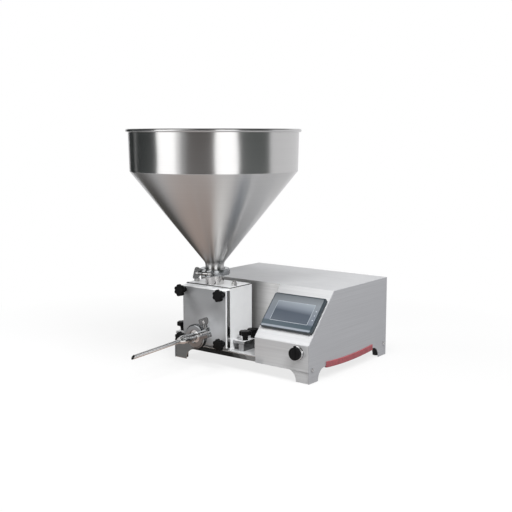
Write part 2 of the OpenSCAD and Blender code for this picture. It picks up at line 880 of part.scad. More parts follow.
function involute(angle) = tan(angle) * 180 / PI - angle;
function flank_angle(r) = half_tooth + involute(pressure) - involute(acos(min(1, base_r / r)));
function flank_radius(step) = base_r + (tip_r - base_r) * step / flank_steps;
function polar(r, angle) = [r * cos(angle), r * sin(angle)];
function flank(mid, side) = [for (i = [0 : flank_steps])
  let (r = flank_radius(side < 0 ? i : flank_steps - i)) polar(r, mid + side * flank_angle(r))];
function tooth(mid) = concat([polar(root_r, mid - flank_angle(base_r))], flank(mid, -1), flank(mid, 1),
                             [polar(root_r, mid + flank_angle(base_r))]);

// Toothed rotor: on both axes one tooth points to +X, so the pair meshes
module rotor(x) {
  facing_front(x, chamber_back - clear, rotor_z) linear_extrude(rotor_len - 2 * clear) difference() {
    polygon([for (i = [0 : rotor_teeth - 1]) each tooth(i * 360 / rotor_teeth)]);
    circle(r = shaft_r + snug);
  }
}

module drive_rotor() {
  color("ivory") in_frame() rotor(drive_x);
}

module driven_rotor() {
  color("ivory") in_frame() rotor(driven_x);
}

module shaft(x, end) {
  facing_front(x, end, rotor_z) cylinder(r = shaft_r, h = end - pump_front - clear);
}

module drive_shaft() {
  color("silver") in_frame() shaft(drive_x, gearbox_y + shaft_into_gearbox);
}

module driven_shaft() {
  color("silver") in_frame() shaft(driven_x, driven_end - clear);
}

// A ring on a shaft, between two depths
module shaft_ring(x, from, to, r) {
  facing_front(x, to, rotor_z) difference() {
    cylinder(r = r, h = to - from);
    translate([0, 0, -past]) cylinder(r = shaft_r + running, h = to - from + 2 * past);
  }
}

module shaft_seals() {
  color("dimgray") in_frame() for (x = [driven_x, drive_x])
    shaft_ring(x, chamber_back, bush_front, seal_r);
}

module shaft_bushes() {
  color("peru") in_frame() {
    shaft_ring(driven_x, bush_front, driven_end, bush_r);
    shaft_ring(drive_x, bush_front, pump_back, bush_r);
  }
}

// Drive and electrics

module drive_tube() {
  half = gearbox_w / 2;
  color("silver") in_frame() difference() {
    union() {
      facing_front(drive_x, gearbox_y, rotor_z) cylinder(r = drive_tube_r, h = drive_tube_len);
      box([drive_x - half, gearbox_y - drive_flange_t, rotor_z - half],
          [drive_x + half, gearbox_y, rotor_z + half]);
    }
    facing_front(drive_x, gearbox_y + past, rotor_z)
      cylinder(r = drive_bore_r, h = drive_tube_len + 2 * past);
  }
}

module gear_motor() {
  half = gearbox_w / 2;
  motor_half = motor_w / 2;
  color("dimgray") in_frame() difference() {
    union() {
      box([drive_x - half, gearbox_y, rotor_z - half], [drive_x + half, motor_y, rotor_z + half]);
      box([drive_x - motor_half, motor_y, rotor_z - motor_half],
          [drive_x + motor_half, motor_y + motor_len, rotor_z + motor_half]);
    }
    facing_front(drive_x, gearbox_y + shaft_into_gearbox + clear, rotor_z)
      cylinder(r = shaft_r + running, h = shaft_into_gearbox + clear + past);
  }
}

// Folded saddle that carries the gearbox on the deck
module motor_bracket() {
  half = bracket_w / 2;
  from = gearbox_y + (gearbox_len - bracket_d) / 2;
  color("silver") in_frame() difference() {
    box([drive_x - half, from, deck_z], [drive_x + half, from + bracket_d, gearbox_low]);
    box([drive_x - half + bracket_t, from - past, deck_z - past],
        [drive_x + half - bracket_t, from + bracket_d + past, gearbox_low - bracket_t]);
  }
}

module power_supply() {
  color("lightgray") in_frame() translate([supply_x, supply_y, deck_z]) {
    cube([supply_w, supply_d, supply_h]);
    translate([supply_w - past, (supply_d - terminals[1]) / 2, 0]) cube(terminals + [past, 0, 0]);
  }
}

// Heat sink on a foot plate that stands out past it
module motor_controller() {
  color("dimgray") in_frame() translate([controller_x, controller_y, deck_z]) {
    cube([controller_w + controller_foot[0], controller_d + controller_foot[1], controller_foot[2]]);
    translate([controller_foot[1] / 2, controller_foot[1] / 2, controller_foot[2] - past])
      cube([controller_w, controller_d, controller_h + past]);
  }
}

// Mounting lugs and posts

module pump_lugs() {
  half = pump_w / 2;
  color("lightgray") in_frame() for (side = lug_sides) difference() {
    translate([pump_x + side * (half + lug_reach / 2), lug_y(side) + lug_d / 2, lug_low + lug_t / 2])
      cube([lug_reach, lug_d, lug_t], center = true);
    for (row = [0, 1]) at_lug_knob(side, row)
      translate([0, 0, -lug_t - past]) cylinder(r = stud_r + clear, h = lug_t + 2 * past);
  }
}

module lug_posts() {
  out = pump_w / 2 + lug_reach - sheet - post_w / 2;
  color("silver") in_frame() for (side = lug_sides) difference() {
    translate([pump_x + side * out, lug_y(side) + lug_d / 2, deck_z + post_h / 2])
      cube([post_w, lug_d, post_h], center = true);
    for (row = [0, 1]) at_lug_knob(side, row)
      translate([0, 0, -lug_t - lug_stud_in]) cylinder(r = stud_r + snug, h = lug_stud_in + past);
  }
}

module lug_knob(side, row) {
  color("black") in_frame() at_lug_knob(side, row) star_knob(lug_stem, lug_stud_out);
}

module lug_knob_left_front() { lug_knob(-1, 0); }
module lug_knob_left_rear() { lug_knob(-1, 1); }
module lug_knob_right_front() { lug_knob(1, 0); }
module lug_knob_right_rear() { lug_knob(1, 1); }

module top_bolts() {
  color("silver") in_frame() at_top_bolts() {
    cylinder(r = top_bolt_hex_r, h = top_bolt_head, $fn = 6);
    translate([0, 0, top_bolt_head]) sphere(r = top_bolt_dome_r);
    translate([0, 0, -top_bolt_in]) cylinder(r = stud_r, h = top_bolt_in + past);
  }
}

// Clamped joints

// Clamp ferrule whose mating face is at z = 0 and whose tube runs to +z
module ferrule(flange_r, tube_r, bore_r, length) {
  back = flange_t + flange_rise;
  rotate_extrude() polygon([[bore_r, 0], [flange_r, 0], [flange_r, flange_t], [flange_r - flange_slope, back],
                            [tube_r, back], [tube_r, length], [bore_r, length]]);
}

module gasket(flange_r, bore_r) {
  translate([0, 0, -gasket_t / 2]) difference() {
    cylinder(r = flange_r, h = gasket_t);
    translate([0, 0, -past]) cylinder(r = bore_r, h = gasket_t + 2 * past);
  }
}

// Band with a wedge groove that draws two flanges together
module clamp_band(flange_r, out_r) {
  in_r = flange_r - clamp_bite;
  groove_out = flange_back + clear;
  groove_in = groove_out + (clamp_bite + clear) * tan(flange_angle);
  groove_r = flange_r + clear;
  half = clamp_w / 2;
  rotate_extrude() polygon([[in_r, half], [out_r, half], [out_r, -half], [in_r, -half], [in_r, -groove_in],
                            [groove_r, -groove_out], [groove_r, groove_out], [in_r, groove_in]]);
}

// Half of the band on one side of the split, with its bolt ear
module clamp_half(flange_r, out_r, side, ear) {
  reach = out_r + ear_reach + past;
  edge = side * clamp_split / 2;
  ear_end = edge + side * ear;
  difference() {
    union() {
      clamp_band(flange_r, out_r);
      box([out_r - ear_root, min(edge, ear_end), -clamp_w / 2],
          [out_r + ear_reach, max(edge, ear_end), clamp_w / 2]);
    }
    box([-reach, min(edge, -side * reach), -clamp_w], [reach, max(edge, -side * reach), clamp_w]);
    translate([out_r + fork_off, -reach, -fork_w / 2]) cube([ear_reach + past, 2 * reach, fork_w]);
    translate([0, 0, -clamp_w / 2 - past]) cylinder(r = flange_r - clamp_bite, h = clamp_w + 2 * past);
  }
}

module knuckle(out_r, low, high, r) {
  translate([-out_r - knuckle_out, 0, low]) cylinder(r = r, h = high - low);
}

// Lower half: middle knuckle, hinge pin and the swing bolt's pin
module clamp_fixed(flange_r, out_r) {
  far = clamp_w / 2;
  difference() {
    union() {
      clamp_half(flange_r, out_r, -1, fixed_ear_h);
      difference() {
        knuckle(out_r, -knuckle_half, knuckle_half, knuckle_r);
        cylinder(r = out_r - past, h = clamp_w, center = true);
      }
    }
    for (low = [-far - past, knuckle_half])
      knuckle(out_r, low, low + far - knuckle_half + past, knuckle_r + clear);
  }
  knuckle(out_r, -far, far, clamp_pin_r);
  translate([out_r + pivot_out, pivot_y, 0]) cylinder(r = clamp_pin_r, h = fork_w + 2 * past, center = true);
}

// Upper half: two outer knuckles
module clamp_free(flange_r, out_r) {
  far = clamp_w / 2;
  gap = knuckle_half + clear;
  difference() {
    union() {
      clamp_half(flange_r, out_r, 1, ear_h);
      for (low = [-far, gap]) difference() {
        knuckle(out_r, low, low + far - gap, knuckle_r);
        cylinder(r = out_r - past, h = clamp_w, center = true);
        translate([-out_r, -2 * knuckle_r, -clamp_w]) cube([2 * out_r, 2 * knuckle_r, 2 * clamp_w]);
      }
    }
    knuckle(out_r, -gap, gap, knuckle_r + clear);
    knuckle(out_r, -far - past, far + past, clamp_pin_r + running);
  }
}

module swing_bolt(out_r) {
  translate([out_r + pivot_out, pivot_y, 0]) difference() {
    union() {
      cylinder(r = eye_r, h = fork_w - 4 * clear, center = true);
      rotate([-90, 0, 0]) cylinder(r = swing_bolt_r, h = bolt_top - pivot_y);
    }
    cylinder(r = clamp_pin_r + running, h = fork_w + 2 * past, center = true);
  }
}

// One wing from the nut's axis outwards, seen along its thickness
module wing_outline() {
  polygon([[swing_bolt_r, wing_foot], [nut_hub_r, wing_foot], [wing_r - wing_tip, nut_hub_h],
           [wing_r, wing_nut_h - wing_tip], [wing_r - wing_tip / 2, wing_nut_h],
           [wing_r - 1.5 * wing_tip, wing_nut_h - wing_tip / 2], [nut_hub_r, nut_hub_h],
           [swing_bolt_r, nut_hub_h]]);
}

module wing_nut(out_r, wing_turn) {
  translate([out_r + pivot_out, nut_low, 0]) rotate([-90, 0, 0]) rotate(-wing_turn) difference() {
    union() {
      cylinder(r1 = nut_hub_r, r2 = nut_hub_r - hub_draft, h = nut_hub_h);
      for (turn = [0, 180]) rotate([90, 0, turn]) translate([0, 0, -wing_t / 2])
        linear_extrude(wing_t) wing_outline();
    }
    translate([0, 0, -past]) cylinder(r = swing_bolt_r + running, h = nut_hub_h + 2 * past);
  }
}

module inlet_ferrule() {
  length = clamp_up - gasket_t / 2;
  color("silver") in_frame() translate([pump_x, inlet_y, pump_top + length]) mirror([0, 0, 1])
    ferrule(neck_flange_r, neck_r, inlet_bore_r, length);
}

// Draws round the hopper's axis
module round_hopper() {
  translate([pump_x, inlet_y, 0]) rotate_extrude($fn = 128) children();
}

// Upright wall with a rolled bead at the rim
module hopper_bowl() {
  bowl_in = hopper_r - hopper_wall;
  color("silver") in_frame() round_hopper() {
    translate([bowl_in, bowl_z]) square([hopper_wall, bowl_h - bead_r]);
    translate([hopper_r + bead_out, rim_z - bead_r]) circle(r = bead_r, $fn = 32);
  }
}

module hopper_cone() {
  color("silver") in_frame() round_hopper()
    polygon([[neck_r, cone_z], [hopper_r, bowl_z], [hopper_r - cone_wall, bowl_z],
             [neck_r - cone_wall, cone_z]]);
}

// Clamp ferrule that the cone is welded to
module hopper_neck() {
  color("silver") in_frame() translate([pump_x, inlet_y, clamp_z + gasket_t / 2])
    ferrule(neck_flange_r, neck_r, neck_r - hopper_wall, neck_len - gasket_t / 2);
}

module hopper_gasket() {
  color("white") in_frame() at_hopper_clamp() gasket(neck_flange_r, neck_r - hopper_wall);
}

module hopper_clamp_fixed() {
  color("lightgray") in_frame() at_hopper_clamp() clamp_fixed(neck_flange_r, hopper_clamp_r);
}

module hopper_clamp_free() {
  color("lightgray") in_frame() at_hopper_clamp() clamp_free(neck_flange_r, hopper_clamp_r);
}

module hopper_swing_bolt() {
  color("silver") in_frame() at_hopper_clamp() swing_bolt(hopper_clamp_r);
}

module hopper_wing_nut() {
  color("silver") in_frame() at_hopper_clamp() wing_nut(hopper_clamp_r, hopper_wing_turn);
}

module outlet_ferrule() {
  length = outlet_reach - gasket_t / 2;
  color("silver") in_frame() facing_front(pump_x, cover_front, outlet_z)
    translate([0, 0, length]) mirror([0, 0, 1]) ferrule(outlet_flange_r, outlet_tube_r, port_r, length);
}

module outlet_gasket() {
  color("white") in_frame() at_outlet_clamp() gasket(outlet_flange_r, port_r);
}

module outlet_clamp_fixed() {
  color("lightgray") in_frame() at_outlet_clamp() clamp_fixed(outlet_flange_r, outlet_clamp_r);
}

module outlet_clamp_free() {
  color("lightgray") in_frame() at_outlet_clamp() clamp_free(outlet_flange_r, outlet_clamp_r);
}

module outlet_swing_bolt() {
  color("silver") in_frame() at_outlet_clamp() swing_bolt(outlet_clamp_r);
}

module outlet_wing_nut() {
  color("silver") in_frame() at_outlet_clamp() wing_nut(outlet_clamp_r, outlet_wing_turn);
}

// Draws along the needle, from its inner end to its tip
module along_needle() {
  translate([pump_x, needle_start, outlet_z]) rotate([90 + needle_droop, 0, 0]) children();
}

module nozzle_body() {
  color("silver") in_frame() difference() {
    facing_front(pump_x, nozzle_start, outlet_z) {
      ferrule(outlet_flange_r, nozzle_r, nozzle_bore_r, nozzle_len);
      translate([0, 0, nozzle_len]) cylinder(r1 = nozzle_r, r2 = taper_end_r, h = nozzle_taper);
    }
    facing_front(pump_x, nozzle_start + past, outlet_z)
      cylinder(r = nozzle_bore_r, h = nozzle_len + nozzle_taper - needle_in + past);
    along_needle() cylinder(r = spigot_r + snug, h = needle_len);
  }
}

module filling_needle() {
  color("silver") in_frame() along_needle() difference() {
    union() {
      cylinder(r = spigot_r, h = spigot_len + past);
      translate([0, 0, spigot_len]) cylinder(r = needle_r, h = needle_len - spigot_len);
    }
    translate([0, 0, -past]) cylinder(r = needle_r - needle_wall, h = needle_len + 2 * past);
    translate([0, needle_r, needle_len]) rotate([atan2(needle_cut, 2 * needle_r), 0, 0])
      translate([-2 * needle_r, -4 * needle_r, 0]) cube(4 * needle_r);
  }
}

deck_plate();
base_skirts();
belly_plate();
rubber_feet();
right_side_panel();
left_side_panel();
hood();
console_panel();
rear_panel();
casing_screws();
edge_trims();
mains_inlet();
touch_housing();
touch_screen();
selector_ring();
selector_knob();
selector_contacts();
pump_body();
pump_cover();
cover_seals();
knob_studs();
cover_knob_top_left();
cover_knob_top_right();
cover_knob_low_left();
cover_knob_low_right();
drive_rotor();
driven_rotor();
drive_shaft();
driven_shaft();
shaft_seals();
shaft_bushes();
drive_tube();
gear_motor();
motor_bracket();
power_supply();
motor_controller();
pump_lugs();
lug_posts();
lug_knob_left_front();
lug_knob_left_rear();
lug_knob_right_front();
lug_knob_right_rear();
top_bolts();
inlet_ferrule();
hopper_bowl();
hopper_cone();
hopper_neck();
hopper_gasket();
hopper_clamp_fixed();
hopper_clamp_free();
hopper_swing_bolt();
hopper_wing_nut();
outlet_ferrule();
outlet_gasket();
outlet_clamp_fixed();
outlet_clamp_free();
outlet_swing_bolt();
outlet_wing_nut();
nozzle_body();
filling_needle();
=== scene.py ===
# Looks of a bench-top paste filling machine: a spun hopper over a pump head on a brushed cabinet.
# Metres, +Z up, the machine faces -Y. Lengths written in millimetres are multiplied by mm.
import json
import math

import bpy
from mathutils import Matrix, Vector

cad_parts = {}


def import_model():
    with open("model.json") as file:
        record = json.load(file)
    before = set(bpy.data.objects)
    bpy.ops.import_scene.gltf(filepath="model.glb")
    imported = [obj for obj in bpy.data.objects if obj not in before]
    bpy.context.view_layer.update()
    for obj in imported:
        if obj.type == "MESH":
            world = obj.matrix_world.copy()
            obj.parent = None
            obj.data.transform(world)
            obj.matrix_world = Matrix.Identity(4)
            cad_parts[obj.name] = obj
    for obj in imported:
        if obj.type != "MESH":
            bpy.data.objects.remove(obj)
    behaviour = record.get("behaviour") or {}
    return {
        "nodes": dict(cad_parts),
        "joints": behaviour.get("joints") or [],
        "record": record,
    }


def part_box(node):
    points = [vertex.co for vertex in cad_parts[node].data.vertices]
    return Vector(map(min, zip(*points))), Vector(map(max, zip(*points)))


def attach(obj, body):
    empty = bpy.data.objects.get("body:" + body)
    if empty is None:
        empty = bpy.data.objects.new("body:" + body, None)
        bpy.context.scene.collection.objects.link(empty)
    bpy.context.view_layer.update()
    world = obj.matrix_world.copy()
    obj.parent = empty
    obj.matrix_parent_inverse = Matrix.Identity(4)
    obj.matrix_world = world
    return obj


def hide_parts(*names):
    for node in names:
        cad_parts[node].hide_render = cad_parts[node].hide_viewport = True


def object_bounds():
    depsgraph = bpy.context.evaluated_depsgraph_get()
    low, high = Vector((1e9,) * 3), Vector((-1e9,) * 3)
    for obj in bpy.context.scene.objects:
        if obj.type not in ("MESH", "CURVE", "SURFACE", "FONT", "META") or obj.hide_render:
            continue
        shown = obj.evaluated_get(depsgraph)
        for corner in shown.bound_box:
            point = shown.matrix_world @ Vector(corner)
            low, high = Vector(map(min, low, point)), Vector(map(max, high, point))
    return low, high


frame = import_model()
cad_low, cad_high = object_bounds()
cad_nodes = frame["nodes"]
record = frame["record"]
slot_of = {row["node"]: row["material_slot"] for row in record["subparts"]}
body_of = {node: body for body, members in record["behaviour"]["bodies"].items() for node in members}
joint_of = {joint["child"]: joint for joint in frame["joints"]}
mm = 0.001

# Two places nearer than this are one, and a face looks a way when its normal has this share along it
same_place = 0.05 * mm
face_on = 0.9

# CAD copies: points nearer than this are merged, and faces that bend less than this many degrees are one
weld_gap = 0.002
flat_angle = 0.6

# Broken edges by kind of piece
sheet_edge = 0.4
casting_edge = 0.6
tube_edge = 0.25
bolt_edge = 0.4
swing_bolt_edge = 0.3

# Least angle of the edges that are broken on turned pieces and on blocks
turned_angle = 50

# Range that the noise in the finishes mostly keeps to
noise_low = 0.3
noise_high = 0.7

# Photograph's camera
camera_place = (1.09496, -1.34713, 0.46677)
camera_turn = 37.641
camera_dip = 8.0595
camera_lens = 61.04
camera_sensor = 36

# Cabinet, from its front left floor corner
corner = Vector((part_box("left_side_panel")[0].x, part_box("console_panel")[0].y, 0))
case_w = 340
case_h = 167
bay_d = 85
console_x = 212
console_front_h = 75
console_fold_r = 2
hood_fold_r = 1.6
hood_fold_end_x = console_x + 3
skirt_seam_x = console_x + 20
rubber_foot_edge = 0.9
touch_x = 276
slope_angle = math.atan2(case_h - console_front_h, bay_d)

# Painted shade on the wall behind the pump: where it starts and ends across, and its share of the tone
bay_shade_x = (150, 194)
bay_shade_share = 0.35

# Painted sheen low on the pump cover, a painted reflection: its middle, its radius, the share of the way in
# where it is full, and its lift
painted_sheen_place = (110, -6, 77)
painted_sheen_r = 50
painted_sheen_full = 0.9
painted_sheen_lift = 2.1

# Edge trims: lengths they bend in, rise of their ends, depth of their droop and broken edge
trim_lengths = 16
trim_rise = 1.4
trim_droop = 3.8
trim_edge = 0.8

# Touch panel, in millimetres on the console's slope from the middle of its lower edge
housing_edge = 1.1
display_low = (-43.5, 40)
display_high = (42.5, 83.5)
display_sink = 0.4
display_rim = 1.1
display_rim_proud = 0.1
display_rim_corner = 1.6
glass_proud = 0.16
glass_corner = 1
display_edge = 0.05
display_slant = 0.05
# Painted reflection in the display glass: pale and dark bands up it, each a share of the way up and its tone
display_reflection_bands = [
    (0.0, (0.075, 0.09, 0.112)),
    (0.5, (0.066, 0.08, 0.102)),
    (0.74, (0.165, 0.188, 0.22)),
    (1.0, (0.23, 0.26, 0.29)),
]
sheet_low = 23
sheet_high = 102
# Painted reflection bands up the panel's front sheet, pale low on it, with the dark bands of its border;
# each a share of the way up and its tone
sheet_reflection_bands = [
    (0.06, (0.24, 0.264, 0.3)),
    (0.085, (0.055, 0.076, 0.091)),
    (0.19, (0.06, 0.08, 0.098)),
    (0.225, (0.135, 0.155, 0.19)),
    (0.75, (0.18, 0.2, 0.22)),
    (0.86, (0.15, 0.165, 0.18)),
    (1.0, (0.105, 0.118, 0.13)),
]
status_lamp_x = 50.5
status_lamp_y = (50.5, 61, 71)
status_lamp_r = 1.15
status_lamp_sides = 24
status_lamp_h = 0.35
status_lamp_sink = 0.3
status_lamp_round = 0.3

# Front sheet of the touch panel: its corners against its node's, its rise, round corners and broken edge
sheet_shift_low = (-1.6, -2.4)
sheet_shift_high = (-1.5, 1)
sheet_proud = 0.2
sheet_corner = 2.2
sheet_front_edge = 0.15

# Hopper outline
hopper_r = 170
hopper_wall = 1.5
bowl_taper = 1.8
neck_r = 19
flange_r = 25.25
flange_low = 188.8
flange_top = 190.4
flange_root = 192.3
root_w = 1
root_h = 0.6
cone_z = 206
cone_fillet = 14
bowl_z = 392
bowl_fillet = 2.5
inner_rise = 0.7
rim_z = 475
bead_r = 3.2
hopper_sides = 192
fillet_steps = 8
bead_steps = 24
seam_gap = 0.005

# Casing screws and their cross recess
screw_sides = 40
screw_head_r = 3.6
screw_head_h = 2
screw_round = 1.1
recess_reach = 2
recess_w = 0.7
recess_low = 1.1

# Pump block, and the rings of the two clamps
block_chamfer = 1.6
hopper_ring_r = 31
outlet_ring_r = 24.5
ring_slack = 0.15
ring_round = 3
clamp_edge = 0.5

# Star knobs: lobed cap, the shrink and rise of each step of its crown, and stem
star_lobes = 7
lobe_points = 16
star_r = 12.5
star_h = 10
valley_share = 0.17
valley_power = 1.6
crown_h = 2.2
crown_steps = [(0.985, 0.7), (0.965, 0.6), (0.93, 0.4), (0.88, 0.15), (0.7, 0.25), (0.5, 0.1)]
stem_sides = 40
stem_r = 6
stem_taper = 0.86
stem_h = {"cover_knob_": 11, "lug_knob_": 9}

# Wing nuts: share of the reach where a CAD wing's tip starts, then hub, wings and the web between them
tip_share = 0.9
hub_sides = 40
hub_r = 5
hub_h = 9
hub_taper = 0.82
hub_lip = 0.6
hub_round = 0.7
hub_angle = 40
wing_sides = 32
wing_r = 4.6
wing_t = 3
wing_stretch = (1.08, 1, 1.6, 1)
wing_lean = 24
wing_x = 7.4
wing_z = 12.6
wing_round = 1.1
web_reach = 8.2
web_t = 2.8
web_low = 5
web_top = 19.8
web_taper = 0.55
web_round = 0.8

# Selector: black rubber foot, its black painted shade round the collar, then chrome collar with its sunk
# lip, and knob of disc, grip and pointer
selector_sides = 72
selector_foot_r = 13.5
selector_foot_h = 1.4
selector_foot_round = 0.5
collar_r = 12.5
collar_low = 0.7
collar_top = 5
collar_rim = 1.2
collar_lip = 0.8
collar_sink = 0.6
collar_round = 0.4
shade_foot_from_r = 12.9
disc_r = 12.3
disc_d = 8
disc_round = 1.4
grip_low = (-3.75, -10.5, -2)
grip_high = (3.75, 10.5, 1)
grip_round = 0.8
pointer_low = (-2.1, 9, -6.5)
pointer_high = (2.1, 15.5, -0.6)
pointer_round = 1.6

# Softboxes: name, degrees round from the camera's side, degrees up, distance, size and power
softboxes = [
    ("left_softbox", -95, 45, 2.0, 0.5, 18),
    ("top_softbox", 10, 72, 2.2, 1.2, 54),
    ("right_softbox", 30, 45, 2.2, 0.8, 36),
]
softbox_aim_z = 0.2

# Round of reflection cards: its radius, its height, and the sides of its wall, floor and ceiling
card_r = 1.2
card_h = 1.1
wall_sides = 360
level_sides = 96

# Cards round the machine: name, first and last degree round from the camera's side, tone and strength
wall_cards = [
    ("left_white_card", -74.4, -47, (1, 1, 1), 1.8),
    ("left_pale_card", -47, -41, (1, 1, 1), 0.9),
    ("left_grey_card", -41, -34, (0.3, 0.3, 0.3), 1),
    ("brown_card", -34, 2, (0.085, 0.075, 0.07), 1),
    ("right_white_card", 2, 30.9, (1, 1, 1), 1.9),
    ("green_card", 30.9, 77.3, (0.07, 0.08, 0.077), 1),
    ("pale_card", 77.3, 215.9, (0.78, 0.78, 0.79), 1),
    ("dark_card", 215.9, 241.6, (0.03, 0.034, 0.034), 1),
    ("thin_card", 241.6, 244.6, (0.4, 0.4, 0.4), 1),
    ("dim_card", 244.6, 285.6, (0.035, 0.04, 0.04), 1),
]

# Light of the sky on the machine
sky_light = 0.25

# Floor: its tone, how much its white is lifted for the eye, and how it fades with distance
floor_size = 30
floor_tone = (0.13, 0.13, 0.13)
floor_lift = 0.78
floor_fade = 1.1
floor_fade_range = (0.05, 0.45)

# Table as metal reflects it: its height, its pale tone, and patches of place, radius, fade and tone
ground_card_z = 0.0004
ground_tone = (0.66, 0.66, 0.67)
# The first patch browns and darkens the table round the machine: painted shade, seen only in reflections.
ground_patches = [
    ((-0.12, -0.03), 0.45, 0.1, 0.55, (0.42, 0.335, 0.295)),
    ((-0.64, 0.22), 0.6, 0.0, 0.5, (0.07, 0.065, 0.06)),
    ((0.10, -0.08), 0.11, 0.0, 0.6, (1.0, 0.99, 0.97)),
]

# Ceiling as metal reflects it
ceiling_tone = (0.1, 0.1, 0.1)
ceiling_patches = [
    ((-0.1, -0.9), 0.35, 0.0, 0.5, (1.2, 1.2, 1.2)),
]

# Dark upright strips on the table before the feet and the skirt, painted shade on the table that only
# reflections show: first and last millimetre across, and grey
low_strips = [
    (-6, 43, 0.2),
    (43, 50, 0.1),
    (50, 151, 0.02),
    (151, 168, 0.07),
    (168, 185, 0.15),
    (185, 230, 0.28),
]
low_strip_y = -3
low_strip_t = 1
low_strip_z = 0.1
low_strip_top = 32


def spot(x, y, z):
    """A place in millimetres from the cabinet's front left floor corner."""
    return corner + Vector((x, y, z)) * mm


# Tests of faces

def faces_up(middle, normal):
    return normal.z > face_on


def faces_down(middle, normal):
    return normal.z < -face_on


def faces_front(middle, normal):
    return normal.y < -face_on


def faces_right(middle, normal):
    return normal.x > face_on


# Modelling helpers

def pick(piece):
    bpy.ops.object.select_all(action="DESELECT")
    piece.select_set(True)
    bpy.context.view_layer.objects.active = piece


def edit_mode(on):
    bpy.ops.object.mode_set(mode="EDIT" if on else "OBJECT")


def choose(piece, kind, test):
    """Opens a piece in edit mode with only the faces or edges that pass a test selected."""
    pick(piece)
    edit_mode(True)
    bpy.ops.mesh.select_mode(type=kind)
    bpy.ops.mesh.select_all(action="DESELECT")
    edit_mode(False)
    mesh = piece.data
    if kind == "FACE":
        for face in mesh.polygons:
            face.select = test(face.center, face.normal)
    else:
        for edge in mesh.edges:
            edge.select = test(*(mesh.vertices[end].co for end in edge.vertices))
    edit_mode(True)


def apply_modifier(piece, kind, **settings):
    pick(piece)
    modifier = piece.modifiers.new(kind, kind)
    for name, value in settings.items():
        setattr(modifier, name, value)
    bpy.ops.object.modifier_apply(modifier=kind)


def round_edges(piece, width, segments=2, least_angle=30):
    apply_modifier(piece, "BEVEL", width=width * mm, segments=segments, limit_method="ANGLE",
                   angle_limit=math.radians(least_angle), use_clamp_overlap=False)


def smooth(piece, angle=40):
    """Smooth shading that keeps broad flat faces flat."""
    pick(piece)
    bpy.ops.object.shade_smooth_by_angle(angle=math.radians(angle))
    apply_modifier(piece, "WEIGHTED_NORMAL", keep_sharp=True)


def new_primitive(name, add, **size):
    bpy.ops.object.select_all(action="DESELECT")
    add(**size)
    piece = bpy.context.active_object
    piece.name = name
    piece.data.name = name
    bpy.ops.object.transform_apply(location=True, rotation=True, scale=True)
    return piece


def cylinder(name, radius, low, high, sides):
    return new_primitive(name, bpy.ops.mesh.primitive_cylinder_add, vertices=sides, radius=radius * mm,
                         depth=(high - low) * mm, location=(0, 0, (low + high) / 2 * mm))


def block(name, low, high):
    low, high = Vector(low) * mm, Vector(high) * mm
    return new_primitive(name, bpy.ops.mesh.primitive_cube_add, size=1, location=(low + high) / 2,
                         scale=high - low)


def join(name, *pieces):
    pick(pieces[0])
    for piece in pieces:
        piece.select_set(True)
    bpy.ops.object.join()
    joined = bpy.context.active_object
    joined.name = name
    joined.data.name = name
    return joined


def copied(piece, name, place):
    """A copy with its own mesh, moved by a matrix into its place."""
    twin = bpy.data.objects.new(name, piece.data.copy())
    twin.data.name = name
    twin.data.transform(place)
    bpy.context.scene.collection.objects.link(twin)
    return twin


def cad_copy(node, name):
    """A copy of a CAD node with its loose triangles merged into whole faces."""
    piece = bpy.data.objects.new(name, cad_nodes[node].data.copy())
    piece.data.name = name
    bpy.context.scene.collection.objects.link(piece)
    pick(piece)
    edit_mode(True)
    bpy.ops.mesh.select_all(action="SELECT")
    bpy.ops.mesh.remove_doubles(threshold=weld_gap * mm)
    bpy.ops.mesh.dissolve_limited(angle_limit=math.radians(flat_angle))
    edit_mode(False)
    return piece


def dress(piece, material, *nodes):
    """Gives a piece its finish and lets it stand for the CAD nodes it is made for."""
    piece.data.materials.clear()
    piece.data.materials.append(material)
    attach(piece, body_of[nodes[0]])
    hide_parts(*nodes)


def second_finish(piece, material, test):
    """Gives the faces that pass a test another finish."""
    piece.data.materials.append(material)
    for face in piece.data.polygons:
        if test(face.center, face.normal):
            face.material_index = len(piece.data.materials) - 1


def softened(node, material, width, segments=2):
    """A CAD node's own shape with its corners broken."""
    piece = cad_copy(node, node + "_finished")
    round_edges(piece, width, segments)
    smooth(piece)
    dress(piece, material, node)
    return piece


def loose_boxes(node):
    """The lowest and highest corner of each separate solid in a CAD node."""
    pick(cad_copy(node, "loose"))
    edit_mode(True)
    bpy.ops.mesh.select_all(action="SELECT")
    bpy.ops.mesh.separate(type="LOOSE")
    edit_mode(False)
    boxes = []
    for part in list(bpy.context.selected_objects):
        places = [vertex.co for vertex in part.data.vertices]
        boxes.append([Vector(map(limit, zip(*places))) for limit in (min, max)])
        bpy.data.objects.remove(part)
    return boxes


def on_axis(joint, start):
    """The matrix that stands a piece modelled along +Z on a joint's axis, from a place along it."""
    axis = Vector(joint["axis"]).normalized()
    origin = Vector(joint["pos_m"])
    origin += axis * (start - origin).dot(axis)
    return Matrix.Translation(origin) @ axis.to_track_quat("Z", "Y").to_matrix().to_4x4()


# Materials

def shader_of(material):
    return material.node_tree.nodes["Principled BSDF"]


def set_sockets(node, values):
    """Sets a node's inputs, named in small letters."""
    for socket, value in values.items():
        node.inputs[socket.replace("_", " ").title()].default_value = value


def new_material(name, **sockets):
    material = bpy.data.materials.new(name)
    material.use_nodes = True
    set_sockets(shader_of(material), sockets)
    return material


def add_node(material, kind, **sockets):
    node = material.node_tree.nodes.new(kind)
    set_sockets(node, sockets)
    return node


def link(material, output, socket):
    material.node_tree.links.new(output, socket)


